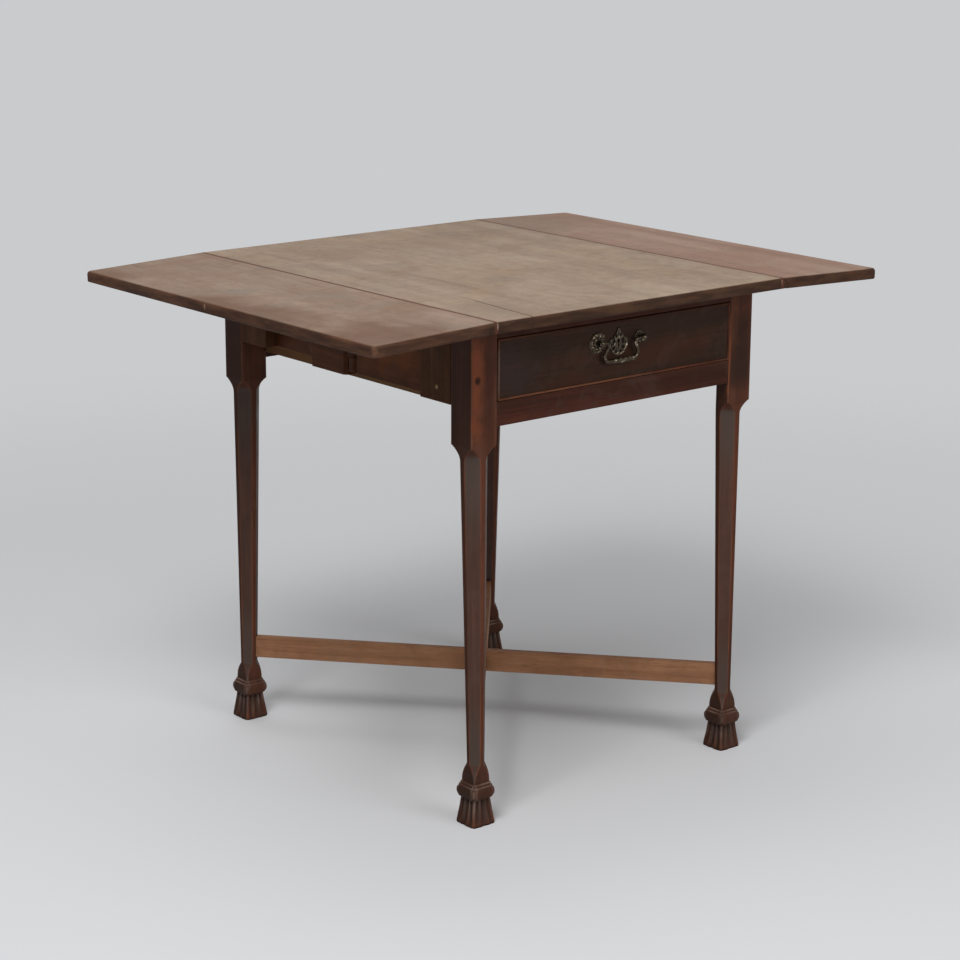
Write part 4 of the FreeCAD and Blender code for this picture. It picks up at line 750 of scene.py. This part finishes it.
def keyholePlate(size):
    # Ring k is a share of the way from the keyhole's edge to the outline, both star shapes about the middle
    angle = np.linspace(0, 2 * math.pi, size["columns"], endpoint=False)
    turns, reaches = np.array(size["outline"]).T
    fold = np.degrees(np.arcsin(np.sin(angle)))
    outer = np.interp(fold, turns, reaches) / 1000
    # A running mean over seven points softens the outline's corners
    outer = np.convolve(np.concatenate([outer[-6:], outer, outer[:6]]), np.ones(7) / 7, "valid")[3:-3]
    rise, eye = size["eye"]
    half, drop = size["slot"]
    sine, cosine = np.sin(angle), np.abs(np.cos(angle)) + 1e-9
    inner = np.minimum(half / cosine, np.where(sine < 0, drop / np.maximum(-sine, 1e-9), 1))
    chord = eye ** 2 - (rise * cosine) ** 2
    inner = np.where((sine > 0) & (chord > 0), rise * sine + np.sqrt(np.maximum(chord, 0)), inner)
    share = np.linspace(0, 1, size["rows"])[:, None]
    radius = between(inner, outer, share)
    x, z = radius * np.cos(angle), radius * np.sin(angle)
    sunk = 0 * x
    limit, soft = size["piercedEdge"]
    for middleX, middleZ, halfX, halfZ, lean in size["piercings"]:
        c, s = math.cos(math.radians(lean)), math.sin(math.radians(lean))
        dx, dz = np.abs(x) * 1000 - middleX, z * 1000 - middleZ
        away = np.hypot((c * dx + s * dz) / halfX, (c * dz - s * dx) / halfZ)
        sunk = np.maximum(sunk, np.clip((limit - away) / soft, 0, 1))
    rim = size["rim"] * np.exp(-((share - size["rimPlace"]) / size["rimWidth"]) ** 2)
    height = size["thick"] + rim - (size["thick"] - size["floor"]) * sunk
    height = height * (1 - share ** size["edge"])
    points = np.stack([x, drawerFace - height, size["z"] + z], -1)
    back = points[[-1, 0]].copy()
    back[:, :, 1] = drawerFace
    return np.concatenate([points, back]), np.concatenate([sunk, 0 * sunk[:2]])


platePoints, plateSunk = keyholePlate(plate)
addPiece("piercedKeyholePlate", platePoints, plateBrass, "drawer", "escutcheon", wrapRows=True,
         attribute=("pierced", plateSunk))
print("handle and keyhole plate made")

# Camera, fitted to the table's corners in the photograph; the roll is about its own axis
view = {
    "place": (-2.2546, -2.7311, 1.3216), "yaw": 39.467, "pitch": 14.735, "roll": 0.257, "lens": 93.2, "sensor": 36,
}
camera = bpy.data.objects.new("camera", bpy.data.cameras.new("camera"))
camera.data.lens = view["lens"]
camera.data.sensor_width = view["sensor"]
heading = Matrix.Rotation(math.radians(-view["yaw"]), 3, "Z")
tilt = Matrix.Rotation(math.radians(90 - view["pitch"]), 3, "X")
roll = Matrix.Rotation(math.radians(view["roll"]), 3, "Z")
camera.location = view["place"]
camera.rotation_euler = (heading @ tilt @ roll).to_euler()
bpy.context.scene.collection.objects.link(camera)
bpy.context.scene.camera = camera

# Studio: a wide pale floor that melts into a pale backdrop, and soft light from the front left
studio = {
    "radius": 14.0, "rings": 24, "spokes": 96, "innerShare": 0.02, "floor": rgb(206, 207, 209), "floorRough": 0.9,
    "floorShine": 0.1, "backdrop": rgb(202, 203, 205), "fade": (0.2, 2.8), "worldLight": 0.25, "aim": (0, 0, 0.4),
}


def floorSurface(size):
    # Rings of points about the origin, spaced as the square of their number, with one face in the middle
    share = (np.linspace(size["innerShare"], 1, size["rings"]) ** 2 * size["radius"])[:, None]
    angle = np.linspace(0, 2 * math.pi, size["spokes"], endpoint=False)[None, :]
    points = np.stack([share * np.cos(angle), share * np.sin(angle), 0 * share * angle], -1).reshape(-1, 3)
    faces = gridFaces(size["rings"], size["spokes"])[:, ::-1]
    return points.tolist(), faces.tolist() + [np.arange(size["spokes"]).tolist()]


floorMesh = bpy.data.meshes.new("studioFloor")
floorPoints, floorFaces = floorSurface(studio)
floorMesh.from_pydata(floorPoints, [], floorFaces)
floor = bpy.data.objects.new("studioFloor", floorMesh)
bpy.context.scene.collection.objects.link(floor)
floorFinish, floorTree, floorShader = startMaterial("paleFloor")
floorShader.inputs["Base Color"].default_value = studio["floor"]
floorShader.inputs["Roughness"].default_value = studio["floorRough"]
floorShader.inputs["Specular IOR Level"].default_value = studio["floorShine"]
reach = addNode(floorTree, "VectorMath", operation="LENGTH")
floorTree.links.new(addNode(floorTree, "TexCoord").outputs["Object"], reach.inputs[0])
glow = addNode(floorTree, "Emission", Color=studio["backdrop"], Strength=1.0)
blend = addNode(floorTree, "MixShader")
plug(floorTree, blend.inputs[0], band(floorTree, reach.outputs["Value"], *studio["fade"]))
floorTree.links.new(floorShader.outputs["BSDF"], blend.inputs[1])
floorTree.links.new(glow.outputs[0], blend.inputs[2])
floorOutput = next(item for item in floorTree.nodes if item.type == "OUTPUT_MATERIAL")
floorTree.links.new(blend.outputs[0], floorOutput.inputs["Surface"])
floorMesh.materials.append(floorFinish)

# The world lights softly, and is seen by the camera and in reflections as the backdrop
world = bpy.data.worlds.new("studioWorld")
bpy.context.scene.world = world
world.use_nodes = True
worldTree = world.node_tree
worldTree.nodes.clear()
ambient = addNode(worldTree, "Background", Color=(1, 1, 1, 1), Strength=studio["worldLight"])
seen = addNode(worldTree, "Background", Color=studio["backdrop"], Strength=1.0)
rays = addNode(worldTree, "LightPath")
shown = maths(worldTree, "MAXIMUM", rays.outputs["Is Camera Ray"], rays.outputs["Is Glossy Ray"])
pick = addNode(worldTree, "MixShader")
plug(worldTree, pick.inputs[0], shown)
worldTree.links.new(ambient.outputs[0], pick.inputs[1])
worldTree.links.new(seen.outputs[0], pick.inputs[2])
worldOutput = addNode(worldTree, "OutputWorld")
worldTree.links.new(pick.outputs[0], worldOutput.inputs["Surface"])

lamps = {
    "keyLamp": {"place": (-1.9, -1.3, 3.3), "size": 1.6, "power": 104},
    "fillLamp": {"place": (0.7, -3.9, 1.9), "size": 2.2, "power": 58},
    "topLamp": {"place": (0.4, 1.2, 3.8), "size": 2.6, "power": 36},
}
for name, lamp in lamps.items():
    light = bpy.data.lights.new(name, "AREA")
    light.size = lamp["size"]
    light.energy = lamp["power"]
    item = bpy.data.objects.new(name, light)
    item.location = lamp["place"]
    aim = np.array(studio["aim"]) - np.array(lamp["place"])
    turn = math.atan2(aim[1], aim[0]) - math.pi / 2
    item.rotation_euler = (math.atan2(math.hypot(aim[0], aim[1]), -aim[2]), 0, turn)
    bpy.context.scene.collection.objects.link(item)
bpy.context.scene.view_settings.view_transform = "Standard"
print("studio set")
